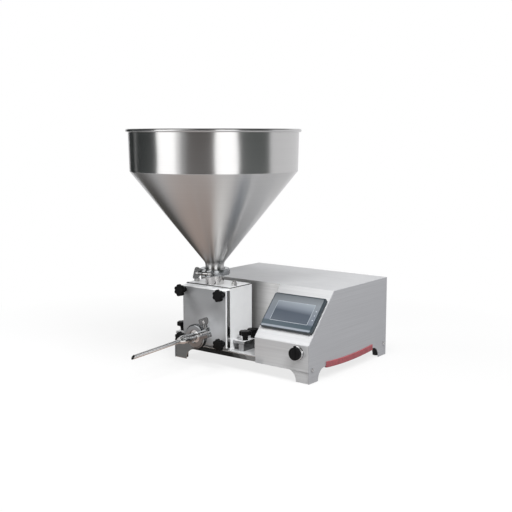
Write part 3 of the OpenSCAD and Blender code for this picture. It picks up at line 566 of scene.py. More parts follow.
def grain(material, scale, stretch=(1, 1, 1), detail=2.0):
    """Noise on the piece's own coordinates, drawn out along an axis by a low stretch."""
    where = add_node(material, "ShaderNodeTexCoord")
    mapping = add_node(material, "ShaderNodeMapping", scale=stretch)
    noise = add_node(material, "ShaderNodeTexNoise", scale=scale, detail=detail)
    link(material, where.outputs["Object"], mapping.inputs["Vector"])
    link(material, mapping.outputs["Vector"], noise.inputs["Vector"])
    return noise.outputs["Fac"]


def tint(material, pattern, dark, light):
    """Colours the shader between two tones."""
    ramp = add_node(material, "ShaderNodeValToRGB")
    for stop, place, colour in zip(ramp.color_ramp.elements, (noise_low, noise_high), (dark, light)):
        stop.position = place
        stop.color = (*colour, 1)
    link(material, pattern, ramp.inputs["Fac"])
    link(material, ramp.outputs["Color"], shader_of(material).inputs["Base Color"])


def gloss(material, pattern, low, high):
    """Spreads the shader's roughness between two values."""
    spread = add_node(material, "ShaderNodeMapRange", from_min=noise_low, from_max=noise_high,
                      to_min=low, to_max=high)
    link(material, pattern, spread.inputs["Value"])
    link(material, spread.outputs["Result"], shader_of(material).inputs["Roughness"])


def relief(material, pattern, strength, depth):
    """Raises the surface by a pattern, on top of any relief that is there already."""
    bump = add_node(material, "ShaderNodeBump", strength=strength, distance=depth * mm)
    normal = shader_of(material).inputs["Normal"]
    if normal.is_linked:
        link(material, normal.links[0].from_socket, bump.inputs["Normal"])
    link(material, pattern, bump.inputs["Height"])
    link(material, bump.outputs["Normal"], normal)


def shade(colour, factor):
    return tuple(min(1, channel * factor) for channel in colour)


def brushed_steel(name, colour, lines, rough=(0.28, 0.4), contrast=0.06, metallic=1.0):
    """Sheet steel with grain lines, broad clouds in its gloss and fine scratches."""
    material = new_material(name, metallic=metallic)
    streaks = grain(material, scale=9, stretch=lines, detail=4)
    tint(material, streaks, shade(colour, 1 - contrast), shade(colour, 1 + contrast))
    gloss(material, grain(material, scale=14, detail=3), *rough)
    relief(material, grain(material, scale=90, stretch=lines), strength=0.12, depth=0.05)
    return material


def scale_tone(material, level):
    """Multiplies a finish's tone by a level."""
    base = shader_of(material).inputs["Base Color"]
    scaled = add_node(material, "ShaderNodeVectorMath")
    scaled.operation = "MULTIPLY"
    link(material, base.links[0].from_socket, scaled.inputs[0])
    link(material, level, scaled.inputs[1])
    link(material, scaled.outputs["Vector"], base)


def painted_shade_across(material, start, end, share):
    """Paints shade on a finish: deepens it towards one side, a share of its tone at a start along X, all of
    it at an end.
    """
    where = add_node(material, "ShaderNodeTexCoord")
    axes = add_node(material, "ShaderNodeSeparateXYZ")
    level = add_node(material, "ShaderNodeMapRange", from_min=start, from_max=end, to_min=share)
    level.interpolation_type = "SMOOTHSTEP"
    link(material, where.outputs["Object"], axes.inputs["Vector"])
    link(material, axes.outputs["X"], level.inputs["Value"])
    scale_tone(material, level.outputs["Result"])


def round_patch(material, place, radius, start, end):
    """0 to 1 towards the middle of a round patch."""
    where = add_node(material, "ShaderNodeTexCoord")
    mapping = add_node(material, "ShaderNodeMapping", location=place, scale=(radius, radius, radius))
    mapping.vector_type = "TEXTURE"
    fade = add_node(material, "ShaderNodeTexGradient")
    fade.gradient_type = "SPHERICAL"
    near = add_node(material, "ShaderNodeMapRange", from_min=start, from_max=end)
    near.interpolation_type = "SMOOTHSTEP"
    link(material, where.outputs["Object"], mapping.inputs["Vector"])
    link(material, mapping.outputs["Vector"], fade.inputs["Vector"])
    link(material, fade.outputs["Fac"], near.inputs["Value"])
    return near.outputs["Result"]


def painted_sheen_patch(material, place, radius, full, lift):
    """Paints a sheen: lifts a finish's tone towards the middle of a round patch."""
    level = add_node(material, "ShaderNodeMapRange", to_min=1, to_max=lift)
    link(material, round_patch(material, place, radius, 0, full), level.inputs["Value"])
    scale_tone(material, level.outputs["Result"])


def spun_steel(name, colour, rough):
    """Steel brushed round an upright axis, which draws its highlights out up and down, slightly uneven."""
    material = new_material(name, metallic=1.0, anisotropic=0.85, anisotropic_rotation=0.25)
    rings = grain(material, scale=9, stretch=ring_lines)
    tint(material, rings, shade(colour, 0.985), shade(colour, 1.015))
    gloss(material, grain(material, scale=5, detail=0), *rough)
    relief(material, grain(material, scale=14, stretch=ring_lines, detail=1), strength=0.05, depth=0.05)
    relief(material, grain(material, scale=7, detail=1), strength=1, depth=3)
    tangent = add_node(material, "ShaderNodeTangent")
    tangent.direction_type = "RADIAL"
    tangent.axis = "Z"
    link(material, tangent.outputs["Tangent"], shader_of(material).inputs["Tangent"])
    return material


def satin_steel(name, colour, rough, contrast=0.04, metallic=1.0):
    """Ground or blasted steel with an even fine tooth."""
    material = new_material(name, metallic=metallic)
    clouds = grain(material, scale=26, detail=4)
    tint(material, clouds, shade(colour, 1 - contrast), shade(colour, 1 + contrast))
    gloss(material, grain(material, scale=60, detail=3), *rough)
    relief(material, grain(material, scale=2600, detail=1), strength=0.06, depth=0.02)
    return material


def moulded_plastic(name, colour, rough, tooth=0.15, contrast=0.17, shine=0.5):
    """Plastic with a fine moulded tooth and slight wear in its gloss."""
    material = new_material(name)
    shader_of(material).inputs["Specular IOR Level"].default_value = shine
    specks = grain(material, scale=180, detail=3)
    tint(material, specks, shade(colour, 1 - contrast), shade(colour, 1 + contrast))
    gloss(material, grain(material, scale=90, detail=4), *rough)
    relief(material, grain(material, scale=3200, detail=1), strength=tooth, depth=0.05)
    return material


# Grain lines run along the axes with low numbers
across_lines = (0.5, 60, 60)
deep_lines = (60, 0.5, 60)
ring_lines = (0.4, 0.4, 90)

# The cabinet's sheets are one steel given tones of their own: painted light and shade for how light falls on
# each face, the top and sides darker than the front and the wall behind the pump paler.
cabinet_front_steel = brushed_steel("cabinet_front_steel", (0.63, 0.635, 0.645), across_lines, metallic=0.3)
cabinet_top_steel = brushed_steel("cabinet_top_steel", (0.44, 0.445, 0.455), across_lines, metallic=0.3)
bay_wall_steel = brushed_steel("bay_wall_steel", (0.86, 0.855, 0.85), across_lines, metallic=0.3)
# Painted shade on the wall behind the pump, deepest beside the pump block.
painted_shade_across(bay_wall_steel, *(spot(x, 0, 0).x for x in bay_shade_x), bay_shade_share)
cabinet_side_steel = brushed_steel("cabinet_side_steel", (0.475, 0.48, 0.5), deep_lines, metallic=0.35)
skirt_steel = brushed_steel("skirt_steel", (0.60, 0.59, 0.58), across_lines, (0.14, 0.2))
hopper_steel = spun_steel("hopper_steel", (0.64, 0.635, 0.63), (0.276, 0.284))
pump_steel = satin_steel("pump_steel", (0.92, 0.93, 0.94), (0.3, 0.4), metallic=0.08)
cover_steel = satin_steel("cover_steel", (0.43, 0.438, 0.45), (0.36, 0.42), metallic=0.25)
# Painted reflection: a pale sheen low on the pump cover, beside the outlet clamp.
painted_sheen_patch(cover_steel, spot(*painted_sheen_place), painted_sheen_r * mm, painted_sheen_full, painted_sheen_lift)
polished_steel = satin_steel("polished_steel", (0.66, 0.65, 0.645), (0.1, 0.16), 0.03)
cast_steel = satin_steel("cast_steel", (0.22, 0.222, 0.224), (0.18, 0.25), 0.06)
clamp_steel = satin_steel("clamp_steel", (0.34, 0.35, 0.36), (0.1, 0.15), 0.04)
nozzle_steel = satin_steel("nozzle_steel", (0.86, 0.86, 0.86), (0.18, 0.23), 0.02)
rim_steel = satin_steel("rim_steel", (0.5, 0.5, 0.5), (0.14, 0.22))
# Dark steel for painted shade on the pump block's top chamfer
chamfer_painted_shade_steel = satin_steel("chamfer_painted_shade_steel", (0.16, 0.16, 0.16), (0.2, 0.3))
fastener_steel = satin_steel("fastener_steel", (0.64, 0.635, 0.63), (0.2, 0.32))
chrome = satin_steel("chrome", (0.9, 0.9, 0.9), (0.06, 0.12), 0.02)
bronze = satin_steel("bronze", (0.52, 0.34, 0.16), (0.28, 0.4))
aluminium = satin_steel("aluminium", (0.62, 0.63, 0.64), (0.34, 0.46))
knob_plastic = moulded_plastic("knob_plastic", (0.004, 0.004, 0.0045), (0.34, 0.46), shine=0.15)
inlet_plastic = moulded_plastic("inlet_plastic", (0.02, 0.02, 0.021), (0.4, 0.55))
housing_plastic = moulded_plastic("housing_plastic", (0.034, 0.044, 0.052), (0.28, 0.38))
black_rubber = moulded_plastic("black_rubber", (0.02, 0.02, 0.02), (0.6, 0.78), 0.3)
red_rubber = moulded_plastic("red_rubber", (0.38, 0.085, 0.10), (0.42, 0.55), 0.3)
white_silicone = moulded_plastic("white_silicone", (0.74, 0.73, 0.70), (0.4, 0.52))
rotor_plastic = moulded_plastic("rotor_plastic", (0.70, 0.69, 0.65), (0.35, 0.5))
motor_paint = moulded_plastic("motor_paint", (0.05, 0.055, 0.06), (0.4, 0.55))
display_line = moulded_plastic("display_line", (0.30, 0.33, 0.36), (0.2, 0.3), 0.03, 0.05)
lamp_lens = moulded_plastic("lamp_lens", (0.48, 0.52, 0.56), (0.2, 0.3), 0.03, 0.05)

finish_of_slot = {
    "cabinet_steel": cabinet_front_steel,
    "hopper_steel": hopper_steel,
    "pump_steel": pump_steel,
    "polished_steel": polished_steel,
    "fastener_steel": fastener_steel,
    "black_plastic": knob_plastic,
    "charcoal_plastic": housing_plastic,
    "screen_film": display_line,
    "chrome_ring": chrome,
    "black_rubber": black_rubber,
    "red_rubber": red_rubber,
    "white_silicone": white_silicone,
    "rotor_plastic": rotor_plastic,
    "bronze": bronze,
    "motor_paint": motor_paint,
    "aluminium": aluminium,
}


# Cabinet

def folded_sheet(node, material, fold, end_x, fold_r):
    """A sheet with one outer fold rolled to a radius up to an end, and its cut edges broken."""
    piece = cad_copy(node, node + "_finished")

    def on_fold(place):
        return (place - fold).yz.length < same_place and place.x < spot(end_x, 0, 0).x

    choose(piece, "EDGE", lambda a, b: on_fold(a) and on_fold(b))
    bpy.ops.mesh.bevel(offset=fold_r * mm, segments=4, clamp_overlap=False)
    edit_mode(False)
    round_edges(piece, sheet_edge)
    smooth(piece)
    dress(piece, material, node)
    return piece


def cabinet():
    folded_sheet("console_panel", cabinet_front_steel, spot(0, 0, console_front_h), case_w, console_fold_r)
    hood = folded_sheet("hood", cabinet_top_steel, spot(0, bay_d, case_h), hood_fold_end_x, hood_fold_r)
    second_finish(hood, bay_wall_steel, faces_front)
    for node in ("right_side_panel", "left_side_panel"):
        softened(node, cabinet_side_steel, sheet_edge)
    for node in ("deck_plate", "rear_panel"):
        softened(node, cabinet_front_steel, sheet_edge)
    softened("rubber_feet", black_rubber, rubber_foot_edge, 3)
    softened("mains_inlet", inlet_plastic, sheet_edge)


def skirts():
    """Polished under the pump, brushed like the console under it."""
    piece = softened("base_skirts", skirt_steel, sheet_edge)
    seam = spot(skirt_seam_x, 0, 0)
    edit_mode(True)
    bpy.ops.mesh.select_all(action="SELECT")
    bpy.ops.mesh.bisect(plane_co=seam, plane_no=(1, 0, 0))
    edit_mode(False)
    second_finish(piece, cabinet_front_steel, lambda middle, normal: middle.x > seam.x)


def edge_trims():
    """Rubber strips over the side arches, drooping a little between their ends."""
    piece = cad_copy("edge_trims", "edge_trim_strips")
    low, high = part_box("edge_trims")
    for step in range(1, trim_lengths):
        pick(piece)
        edit_mode(True)
        bpy.ops.mesh.select_all(action="SELECT")
        bpy.ops.mesh.bisect(plane_co=low.lerp(high, step / trim_lengths), plane_no=(0, 1, 0))
        edit_mode(False)
    round_edges(piece, trim_edge, 3)
    for vertex in piece.data.vertices:
        along = (vertex.co.y - low.y) / (high.y - low.y)
        vertex.co.z += (trim_rise - trim_droop * 4 * along * (1 - along)) * mm
    smooth(piece)
    dress(piece, red_rubber, "edge_trims")


def casing_screws():
    """Pan heads with a cross recess, modelled once and set on every screw."""
    head = cylinder("screw_head", screw_head_r, -screw_round, screw_head_h, screw_sides)
    round_edges(head, screw_round, 4, turned_angle)
    for turn in (0, 90):
        bar = block("bar", (-recess_reach, -recess_w / 2, recess_low),
                    (recess_reach, recess_w / 2, screw_head_h + 1))
        bar.data.transform(Matrix.Rotation(math.radians(turn), 4, "Z"))
        apply_modifier(head, "BOOLEAN", object=bar, operation="DIFFERENCE", solver="EXACT")
        bpy.data.objects.remove(bar)
    smooth(head)
    middle = (cad_low + cad_high) / 2
    placed = []
    for low, high in loose_boxes("casing_screws"):
        size = high - low
        along = list(size).index(min(size))
        outward = Vector((0, 0, 0))
        outward[along] = 1 if low[along] > middle[along] else -1
        seat = (low + high) / 2 + outward * (size[along] / 2 - screw_head_h * mm)
        turn = outward.to_track_quat("Z", "Y").to_matrix().to_4x4()
        placed.append(copied(head, "screw", Matrix.Translation(seat) @ turn))
    bpy.data.objects.remove(head)
    dress(join("casing_screw_heads", *placed), fastener_steel, "casing_screws")


# Console

def on_slope():
    """The matrix that lays a piece drawn flat on the console's slope."""
    return Matrix.Translation(spot(touch_x, 0, console_front_h)) @ Matrix.Rotation(slope_angle, 4, "X")


def corner_plate(name, low, high, radius, edge):
    """A plate with rounded corners and broken edges, drawn flat."""
    plate = block(name, low, high)
    choose(plate, "EDGE", lambda a, b: (a.xy - b.xy).length < same_place)
    bpy.ops.mesh.bevel(offset=radius * mm, segments=5)
    edit_mode(False)
    round_edges(plate, edge, 2, turned_angle)
    return plate


def painted_reflection_gloss(name, slope, low, high, slant, bands):
    """Glossy dark front with painted reflections: the room's pale and dark bands painted into its colour,
    level or slanting on the slope.
    """
    material = new_material(name)
    where = add_node(material, "ShaderNodeTexCoord")
    mapping = add_node(material, "ShaderNodeMapping", location=slope.to_translation(),
                       rotation=slope.to_euler())
    mapping.vector_type = "TEXTURE"
    axes = add_node(material, "ShaderNodeSeparateXYZ")
    lean = add_node(material, "ShaderNodeMath")
    lean.operation = "MULTIPLY_ADD"
    lean.inputs[1].default_value = slant
    level = add_node(material, "ShaderNodeMapRange", from_min=low * mm, from_max=high * mm)
    link(material, where.outputs["Object"], mapping.inputs["Vector"])
    link(material, mapping.outputs["Vector"], axes.inputs["Vector"])
    link(material, axes.outputs["X"], lean.inputs[0])
    link(material, axes.outputs["Y"], lean.inputs[2])
    link(material, lean.outputs["Value"], level.inputs["Value"])
    ramp = add_node(material, "ShaderNodeValToRGB")
    stops = ramp.color_ramp.elements
    while len(stops) < len(bands):
        stops.new(1)
    for stop, (place, colour) in zip(stops, bands):
        stop.position = place
        stop.color = (*colour, 1)
    link(material, level.outputs["Result"], ramp.inputs["Fac"])
    link(material, ramp.outputs["Color"], shader_of(material).inputs["Base Color"])
    gloss(material, grain(material, scale=90, detail=4), low=0.14, high=0.2)
    relief(material, grain(material, scale=3200, detail=1), strength=0.02, depth=0.05)
    return material


def add_detail(piece, material, slope):
    """Sets a detail that stands for no CAD node of its own on the console's slope."""
    piece.data.transform(slope)
    smooth(piece)
    piece.data.materials.append(material)
    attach(piece, body_of["touch_screen"])


def touch_sheet(slope):
    """The panel's glossy front sheet. Returns the height of its front over the slope."""
    back = slope.inverted()
    places = [back @ vertex.co / mm for vertex in cad_nodes["touch_screen"].data.vertices]
    low, high = (Vector(map(limit, zip(*places))) for limit in (min, max))
    front = high.z + sheet_proud
    sheet = corner_plate("touch_sheet", (*(low.xy + Vector(sheet_shift_low)), low.z),
                         (*(high.xy + Vector(sheet_shift_high)), front), sheet_corner, sheet_front_edge)
    sheet.data.transform(slope)
    smooth(sheet)
    film = painted_reflection_gloss("sheet_film", slope, sheet_low, sheet_high, 0, sheet_reflection_bands)
    dress(sheet, film, "touch_screen")
    return front


def display(slope, front):
    """The blank display window in its thin rim."""
    bottom = front - display_sink
    rim_low = [edge - display_rim for edge in display_low]
    rim_high = [edge + display_rim for edge in display_high]
    line = corner_plate("display_edge", (*rim_low, bottom), (*rim_high, front + display_rim_proud),
                        display_rim_corner, display_edge)
    add_detail(line, display_line, slope)
    glass = corner_plate("display_window", (*display_low, bottom), (*display_high, front + glass_proud),
                         glass_corner, display_edge)
    glaze = painted_reflection_gloss("display_glass", slope, display_low[1], display_high[1], display_slant,
                         display_reflection_bands)
    add_detail(glass, glaze, slope)


def status_lamps(slope, front):
    """Small round lenses beside the display."""
    lamps = []
    for height in status_lamp_y:
        lamp = cylinder("lamp", status_lamp_r, -status_lamp_sink, status_lamp_h, status_lamp_sides)
        round_edges(lamp, status_lamp_round, 3, turned_angle)
        lamp.data.transform(Matrix.Translation(Vector((status_lamp_x, height, front)) * mm))
        lamps.append(lamp)
    add_detail(join("status_lamps", *lamps), lamp_lens, slope)


def touch_panel():
    softened("touch_housing", housing_plastic, housing_edge, 3)
    slope = on_slope()
    front = touch_sheet(slope)
    display(slope, front)
    status_lamps(slope, front)


# Star knobs

def star_knob(stem):
    """A lobed cap over a round stem, along +Z from the face that the stem stands on."""
    cap = cylinder("cap", star_r, stem + crown_h, stem + star_h - crown_h, star_lobes * lobe_points)
    for vertex in cap.data.vertices:
        angle = math.atan2(vertex.co.y, vertex.co.x)
        valley = (1 - math.cos(star_lobes * angle)) / 2
        vertex.co.xy *= 1 - valley_share * valley ** valley_power
    for side, end_faces in ((1, faces_up), (-1, faces_down)):
        choose(cap, "FACE", end_faces)
        for shrink, rise in crown_steps:
            bpy.ops.mesh.extrude_region_move(TRANSFORM_OT_translate={"value": (0, 0, rise * side * mm)})
            bpy.ops.transform.resize(value=(shrink, shrink, 1))
        edit_mode(False)
    shaft = cylinder("shaft", stem_r, 0, stem + crown_h, stem_sides)
    choose(shaft, "FACE", faces_down)
    bpy.ops.transform.resize(value=(stem_taper, stem_taper, 1))
    edit_mode(False)
    knob = join("star_knob", cap, shaft)
    smooth(knob, 60)
    return knob


def star_knobs():
    """Sets a knob on every stud, its foot where its CAD node's is."""
    for group, stem in stem_h.items():
        knob = star_knob(stem)
        for node in [name for name in cad_nodes if name.startswith(group)]:
            joint = joint_of[body_of[node]]
            low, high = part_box(node)
            axis = Vector(joint["axis"])
            foot = high if sum(axis) < 0 else low
            dress(copied(knob, node + "_star", on_axis(joint, foot)), knob_plastic, node)
        bpy.data.objects.remove(knob)


# Hopper

def arc(middle, radius, start, end, steps):
    """Points of a round in an outline of radius and height, in millimetres and degrees."""
    turns = [math.radians(start + (end - start) * step / steps) for step in range(steps + 1)]
    return [(middle[0] + radius * math.cos(turn), middle[1] + radius * math.sin(turn)) for turn in turns]


def filleted(outline, radii):
    """Rounds the numbered corners of an open outline."""
    points = [outline[0]]
    for index in range(1, len(outline) - 1):
        before, here, after = (Vector(outline[index + step]) for step in (-1, 0, 1))
        if index not in radii:
            points.append(tuple(here))
            continue
        back, on = (before - here).normalized(), (after - here).normalized()
        half = back.angle(on) / 2
        reach = radii[index] / math.tan(half)
        middle = here + (back + on).normalized() * radii[index] / math.sin(half)
        first, last = (math.degrees(math.atan2(*(here + way * reach - middle).yx)) for way in (back, on))
        sweep = (last - first + 180) % 360 - 180
        points += arc(middle, radii[index], first, first + sweep, fillet_steps)
    points.append(outline[-1])
    return points


def hopper_outline():
    """The shell's closed outline: clamp flange, neck, cone, bowl wall and rolled rim, then back inside."""
    bead = (hopper_r - hopper_wall + bead_r, rim_z - bead_r)
    bead_under = bead[1] - math.sqrt(bead_r ** 2 - (bead[0] - hopper_r) ** 2)
    outer = filleted([
        (flange_r, flange_low),
        (flange_r, flange_top),
        (neck_r + root_w, flange_root),
        (neck_r, flange_root + root_h),
        (neck_r, cone_z),
        (hopper_r - bowl_taper, bowl_z),
        (hopper_r, bead_under),
    ], {4: cone_fillet, 5: bowl_fillet})
    start = math.degrees(math.atan2(bead_under - bead[1], hopper_r - bead[0]))
    rim = arc(bead, bead_r, start, 180, bead_steps)
    inner_r = hopper_r - hopper_wall
    throat_r = neck_r - hopper_wall
    inner = filleted([
        (inner_r, bead[1]),
        (inner_r - bowl_taper, bowl_z + inner_rise),
        (throat_r, cone_z + inner_rise),
        (throat_r, flange_low),
    ], {1: bowl_fillet, 2: cone_fillet})
    return outer + rim[1:-1] + inner


def hopper():
    """One shell, spun from its outline."""
    outline = hopper_outline()
    low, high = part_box("hopper_bowl")
    axis = (low + high) / 2
    mesh = bpy.data.meshes.new("hopper_shell")
    mesh.from_pydata([(axis.x + r * mm, axis.y, z * mm) for r, z in outline],
                     [(index, (index + 1) % len(outline)) for index in range(len(outline))], [])
    shell = bpy.data.objects.new("hopper_shell", mesh)
    bpy.context.scene.collection.objects.link(shell)
    pick(shell)
    edit_mode(True)
    bpy.ops.mesh.select_all(action="SELECT")
    bpy.ops.mesh.spin(steps=hopper_sides, angle=2 * math.pi, center=axis, axis=(0, 0, 1))
    bpy.ops.mesh.select_all(action="SELECT")
    bpy.ops.mesh.remove_doubles(threshold=seam_gap * mm)
    bpy.ops.mesh.normals_make_consistent(inside=False)
    edit_mode(False)
    smooth(shell, 30)
    dress(shell, hopper_steel, "hopper_bowl", "hopper_cone", "hopper_neck")


# Pump head, clamps and nozzle

def pump_block():
    """The block with painted shade along the front and right edges of its top: a dark steel on a chamfer
    there.
    """
    piece = cad_copy("pump_body", "pump_body_finished")
    low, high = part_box("pump_body")

    def top_edge(a, b):
        level = all(abs(end.z - high.z) < same_place for end in (a, b))
        front = all(abs(end.y - low.y) < same_place for end in (a, b))
        right = all(abs(end.x - high.x) < same_place for end in (a, b))
        return level and (front or right)

    def on_chamfer(middle, normal):
        """Half-way between facing up and facing out, close under the top."""
        return 0.6 < normal.z < 0.8 and high.z - middle.z < block_chamfer * mm

    choose(piece, "EDGE", top_edge)
    bpy.ops.mesh.bevel(offset=block_chamfer * mm, segments=1, clamp_overlap=False)
    edit_mode(False)
    round_edges(piece, casting_edge, 3, turned_angle)
    smooth(piece)
    dress(piece, pump_steel, "pump_body")
    second_finish(piece, chamfer_painted_shade_steel, on_chamfer)


def clamp_half(pipe, half, ring_r, along):
    """A clamp half's own shape with its ring well rounded."""
    node = pipe + "_clamp_" + half
    piece = cad_copy(node, node + "_finished")
    low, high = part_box(pipe + "_gasket")
    middle = (low + high) / 2
    half_w = max((vertex.co - middle).dot(along) for vertex in piece.data.vertices)

    def on_rim(place):
        out = place - middle
        height = out.dot(along)
        around = (out - along * height).length
        return abs(around - ring_r * mm) < ring_slack * mm and abs(abs(height) - half_w) < same_place

    choose(piece, "EDGE", lambda a, b: on_rim(a) and on_rim(b))
    bpy.ops.mesh.bevel(offset=ring_round * mm, segments=5, clamp_overlap=False)
    edit_mode(False)
    round_edges(piece, clamp_edge)
    smooth(piece)
    dress(piece, clamp_steel, node)


def filling_needle():
    """The needle, turned on its axis so that its oblique tip is longest below."""
    piece = softened("filling_needle", nozzle_steel, tube_edge)
    bore = next(mount for mount in record["mounts"] if mount["name"] == "needle_bore")
    middle = Matrix.Translation(bore["pos_m"])
    piece.data.transform(middle @ Matrix.Rotation(math.pi, 4, bore["axis"]) @ middle.inverted())


def pump_cover():
    """The cover plate, with painted highlights on its top and its broken front edges, which take the pale
    block finish, and bare metal on its right edge, which reflects darker.
    """
    piece = softened("pump_cover", cover_steel, casting_edge, 3)
    # Painted highlight: the cover's top and broken front edges in the pale block finish.
    second_finish(piece, pump_steel, lambda middle, normal: normal.z > 0.5 or 0.5 < -normal.y < face_on)
    second_finish(piece, rim_steel, faces_right)


def pump_head():
    """Block, cover, lugs, nozzle and the two clamps."""
    pump_block()
    pump_cover()
    # Painted light: the lug tops take the pale block finish, and the fronts of lugs and posts the paler
    # cover finish, for how light falls on them.
    lugs = softened("pump_lugs", cast_steel, casting_edge, 3)
    second_finish(lugs, pump_steel, faces_up)
    second_finish(lugs, cover_steel, faces_front)
    posts = softened("lug_posts", cast_steel, casting_edge, 3)
    second_finish(posts, cover_steel, faces_front)
    softened("top_bolts", fastener_steel, bolt_edge)
    for node in ("inlet_ferrule", "outlet_ferrule"):
        softened(node, polished_steel, tube_edge)
    softened("nozzle_body", nozzle_steel, tube_edge)
    filling_needle()
    for pipe, ring_r, along in (("hopper", hopper_ring_r, (0, 0, 1)), ("outlet", outlet_ring_r, (0, 1, 0))):
        clamp_half(pipe, "fixed", ring_r, Vector(along))
        clamp_half(pipe, "free", ring_r, Vector(along))
        softened(pipe + "_swing_bolt", fastener_steel, swing_bolt_edge)


def wing_nut():
    """A tapered hub with two rounded wings on a web, along +Z from its seat."""
    hub = cylinder("hub", hub_r, 0, hub_h, hub_sides)
    choose(hub, "FACE", faces_up)
    bpy.ops.transform.resize(value=(hub_taper, hub_taper, 1))
    bpy.ops.mesh.inset(thickness=hub_lip * mm)
    edit_mode(False)
    round_edges(hub, hub_round, 3, hub_angle)
    wings = []
    for side in (1, -1):
        wing = cylinder("wing", wing_r, -wing_t / 2, wing_t / 2, wing_sides)
        lean = Matrix.Rotation(math.radians(wing_lean * side), 4, "Y")
        upright = Matrix.Rotation(math.pi / 2, 4, "X")
        place = Matrix.Translation((wing_x * side * mm, 0, wing_z * mm))
        wing.data.transform(place @ lean @ Matrix.Diagonal(wing_stretch) @ upright)
        round_edges(wing, wing_round, 4, turned_angle)
        wings.append(wing)
    web = block("web", (-web_reach, -web_t / 2, web_low), (web_reach, web_t / 2, web_top))
    choose(web, "FACE", faces_down)
    bpy.ops.transform.resize(value=(web_taper, 1, 1))
    edit_mode(False)
    round_edges(web, web_round, 3, turned_angle)
    nut = join("wing_nut", hub, web, *wings)
    smooth(nut, 50)
    return nut


def wing_nuts():
    """Sets a nut on both swing bolts, its wings along those of its CAD node."""
    nut = wing_nut()
    for node in ("hopper_wing_nut", "outlet_wing_nut"):
        joint = joint_of[body_of[node]]
        axis = Vector(joint["axis"]).normalized()
        origin = Vector(joint["pos_m"])
        places = [vertex.co - origin for vertex in cad_nodes[node].data.vertices]
        seat = origin + axis * min(place.dot(axis) for place in places)
        ways = [place - axis * place.dot(axis) for place in places]
        longest = max(ways, key=lambda way: way.length)
        tip = [way for way in ways if way.dot(longest) > tip_share * longest.length_squared]
        wing = sum(tip, Vector()).normalized()
        turn = Matrix((wing, axis.cross(wing), axis)).transposed().to_4x4()
        dress(copied(nut, node + "_winged", Matrix.Translation(seat) @ turn), cast_steel, node)
    bpy.data.objects.remove(nut)


# Selector

def on_console(depth):
    """The matrix that stands a piece modelled along +Z on the selector's axis, facing the front."""
    across, _, height = joint_of[body_of["selector_knob"]]["pos_m"]
    return Matrix.Translation((across, depth, height)) @ Matrix.Rotation(math.pi / 2, 4, "X")


def selector_ring():
    """A chrome collar on a thin black rubber foot, whose black is painted shade round the collar."""
    foot = cylinder("foot", selector_foot_r, 0, selector_foot_h, selector_sides)
    round_edges(foot, selector_foot_round, 3, turned_angle)
    collar = cylinder("collar", collar_r, collar_low, collar_top, selector_sides)
    choose(collar, "FACE", faces_up)
    bpy.ops.mesh.inset(thickness=collar_rim * mm)
    bpy.ops.mesh.inset(thickness=collar_lip * mm, depth=-collar_sink * mm)
    edit_mode(False)
    round_edges(collar, collar_round, 3, turned_angle)
    ring = join("selector_collar", foot, collar)
    smooth(ring, 50)
    dress(ring, chrome, "selector_ring")
    # Painted shade: the foot's outer faces are black round the collar.
    second_finish(ring, black_rubber, lambda middle, normal: middle.xy.length > shade_foot_from_r * mm)
    ring.data.transform(on_console(corner.y))


def selector_knob():
    """A round knob with a raised grip and a pointer, its foremost face where its CAD node's is."""
    disc = cylinder("disc", disc_r, -disc_d, 0, selector_sides)
    round_edges(disc, disc_round, 4, turned_angle)
    grip = block("grip", grip_low, grip_high)
    round_edges(grip, grip_round, 3, turned_angle)
    pointer = block("pointer", pointer_low, pointer_high)
    round_edges(pointer, pointer_round, 4, turned_angle)
    knob = join("selector_grip_knob", disc, grip, pointer)
    smooth(knob, 50)
    knob.data.transform(on_console(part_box("selector_knob")[0].y + grip_high[2] * mm))
    dress(knob, knob_plastic, "selector_knob")


# Studio

def seen_as(angle):
    """A level direction from the machine, in degrees from the camera's side, positive to the right."""
    turn = math.radians(camera_turn - 90 + angle)
    return Vector((math.cos(turn), math.sin(turn), 0))


def emission_material(name, colour, strength):
    material = bpy.data.materials.new(name)
    material.use_nodes = True
    tree = material.node_tree
    tree.nodes.remove(tree.nodes["Principled BSDF"])
    glow = add_node(material, "ShaderNodeEmission", color=(*colour, 1), strength=strength)
    link(material, glow.outputs["Emission"], tree.nodes["Material Output"].inputs["Surface"])
    return material


def only_in_reflections(card):
    card.visible_camera = False
    card.visible_diffuse = False
    card.visible_shadow = False
    card.visible_transmission = False
    card.visible_volume_scatter = False


def wall_card(name, start, end, colour, strength):
    """A curved card round the machine that only metal and gloss reflect."""
    card = new_primitive(name, bpy.ops.mesh.primitive_cylinder_add, vertices=wall_sides, radius=card_r,
                         depth=card_h, end_fill_type="NOTHING", location=(0, 0, card_h / 2))
    first = math.radians(camera_turn - 90 + start)
    width = math.radians(end - start)
    choose(card, "FACE", lambda middle, normal: (math.atan2(middle.y, middle.x) - first) % math.tau > width)
    bpy.ops.mesh.delete(type="FACE")
    edit_mode(False)
    card.data.materials.append(emission_material(name, colour, strength))
    only_in_reflections(card)


def low_cards():
    """Upright strips on the table that only the front's low edge faces: painted shade on the table, seen in
    the reflections of the skirt and feet.
    """
    for start, end, grey in low_strips:
        card = block("low_card", (start, low_strip_y - low_strip_t, low_strip_z),
                     (end, low_strip_y, low_strip_top))
        card.data.transform(Matrix.Translation(corner))
        card.data.materials.append(emission_material("low_card", (grey, grey, grey), 1))
        only_in_reflections(card)


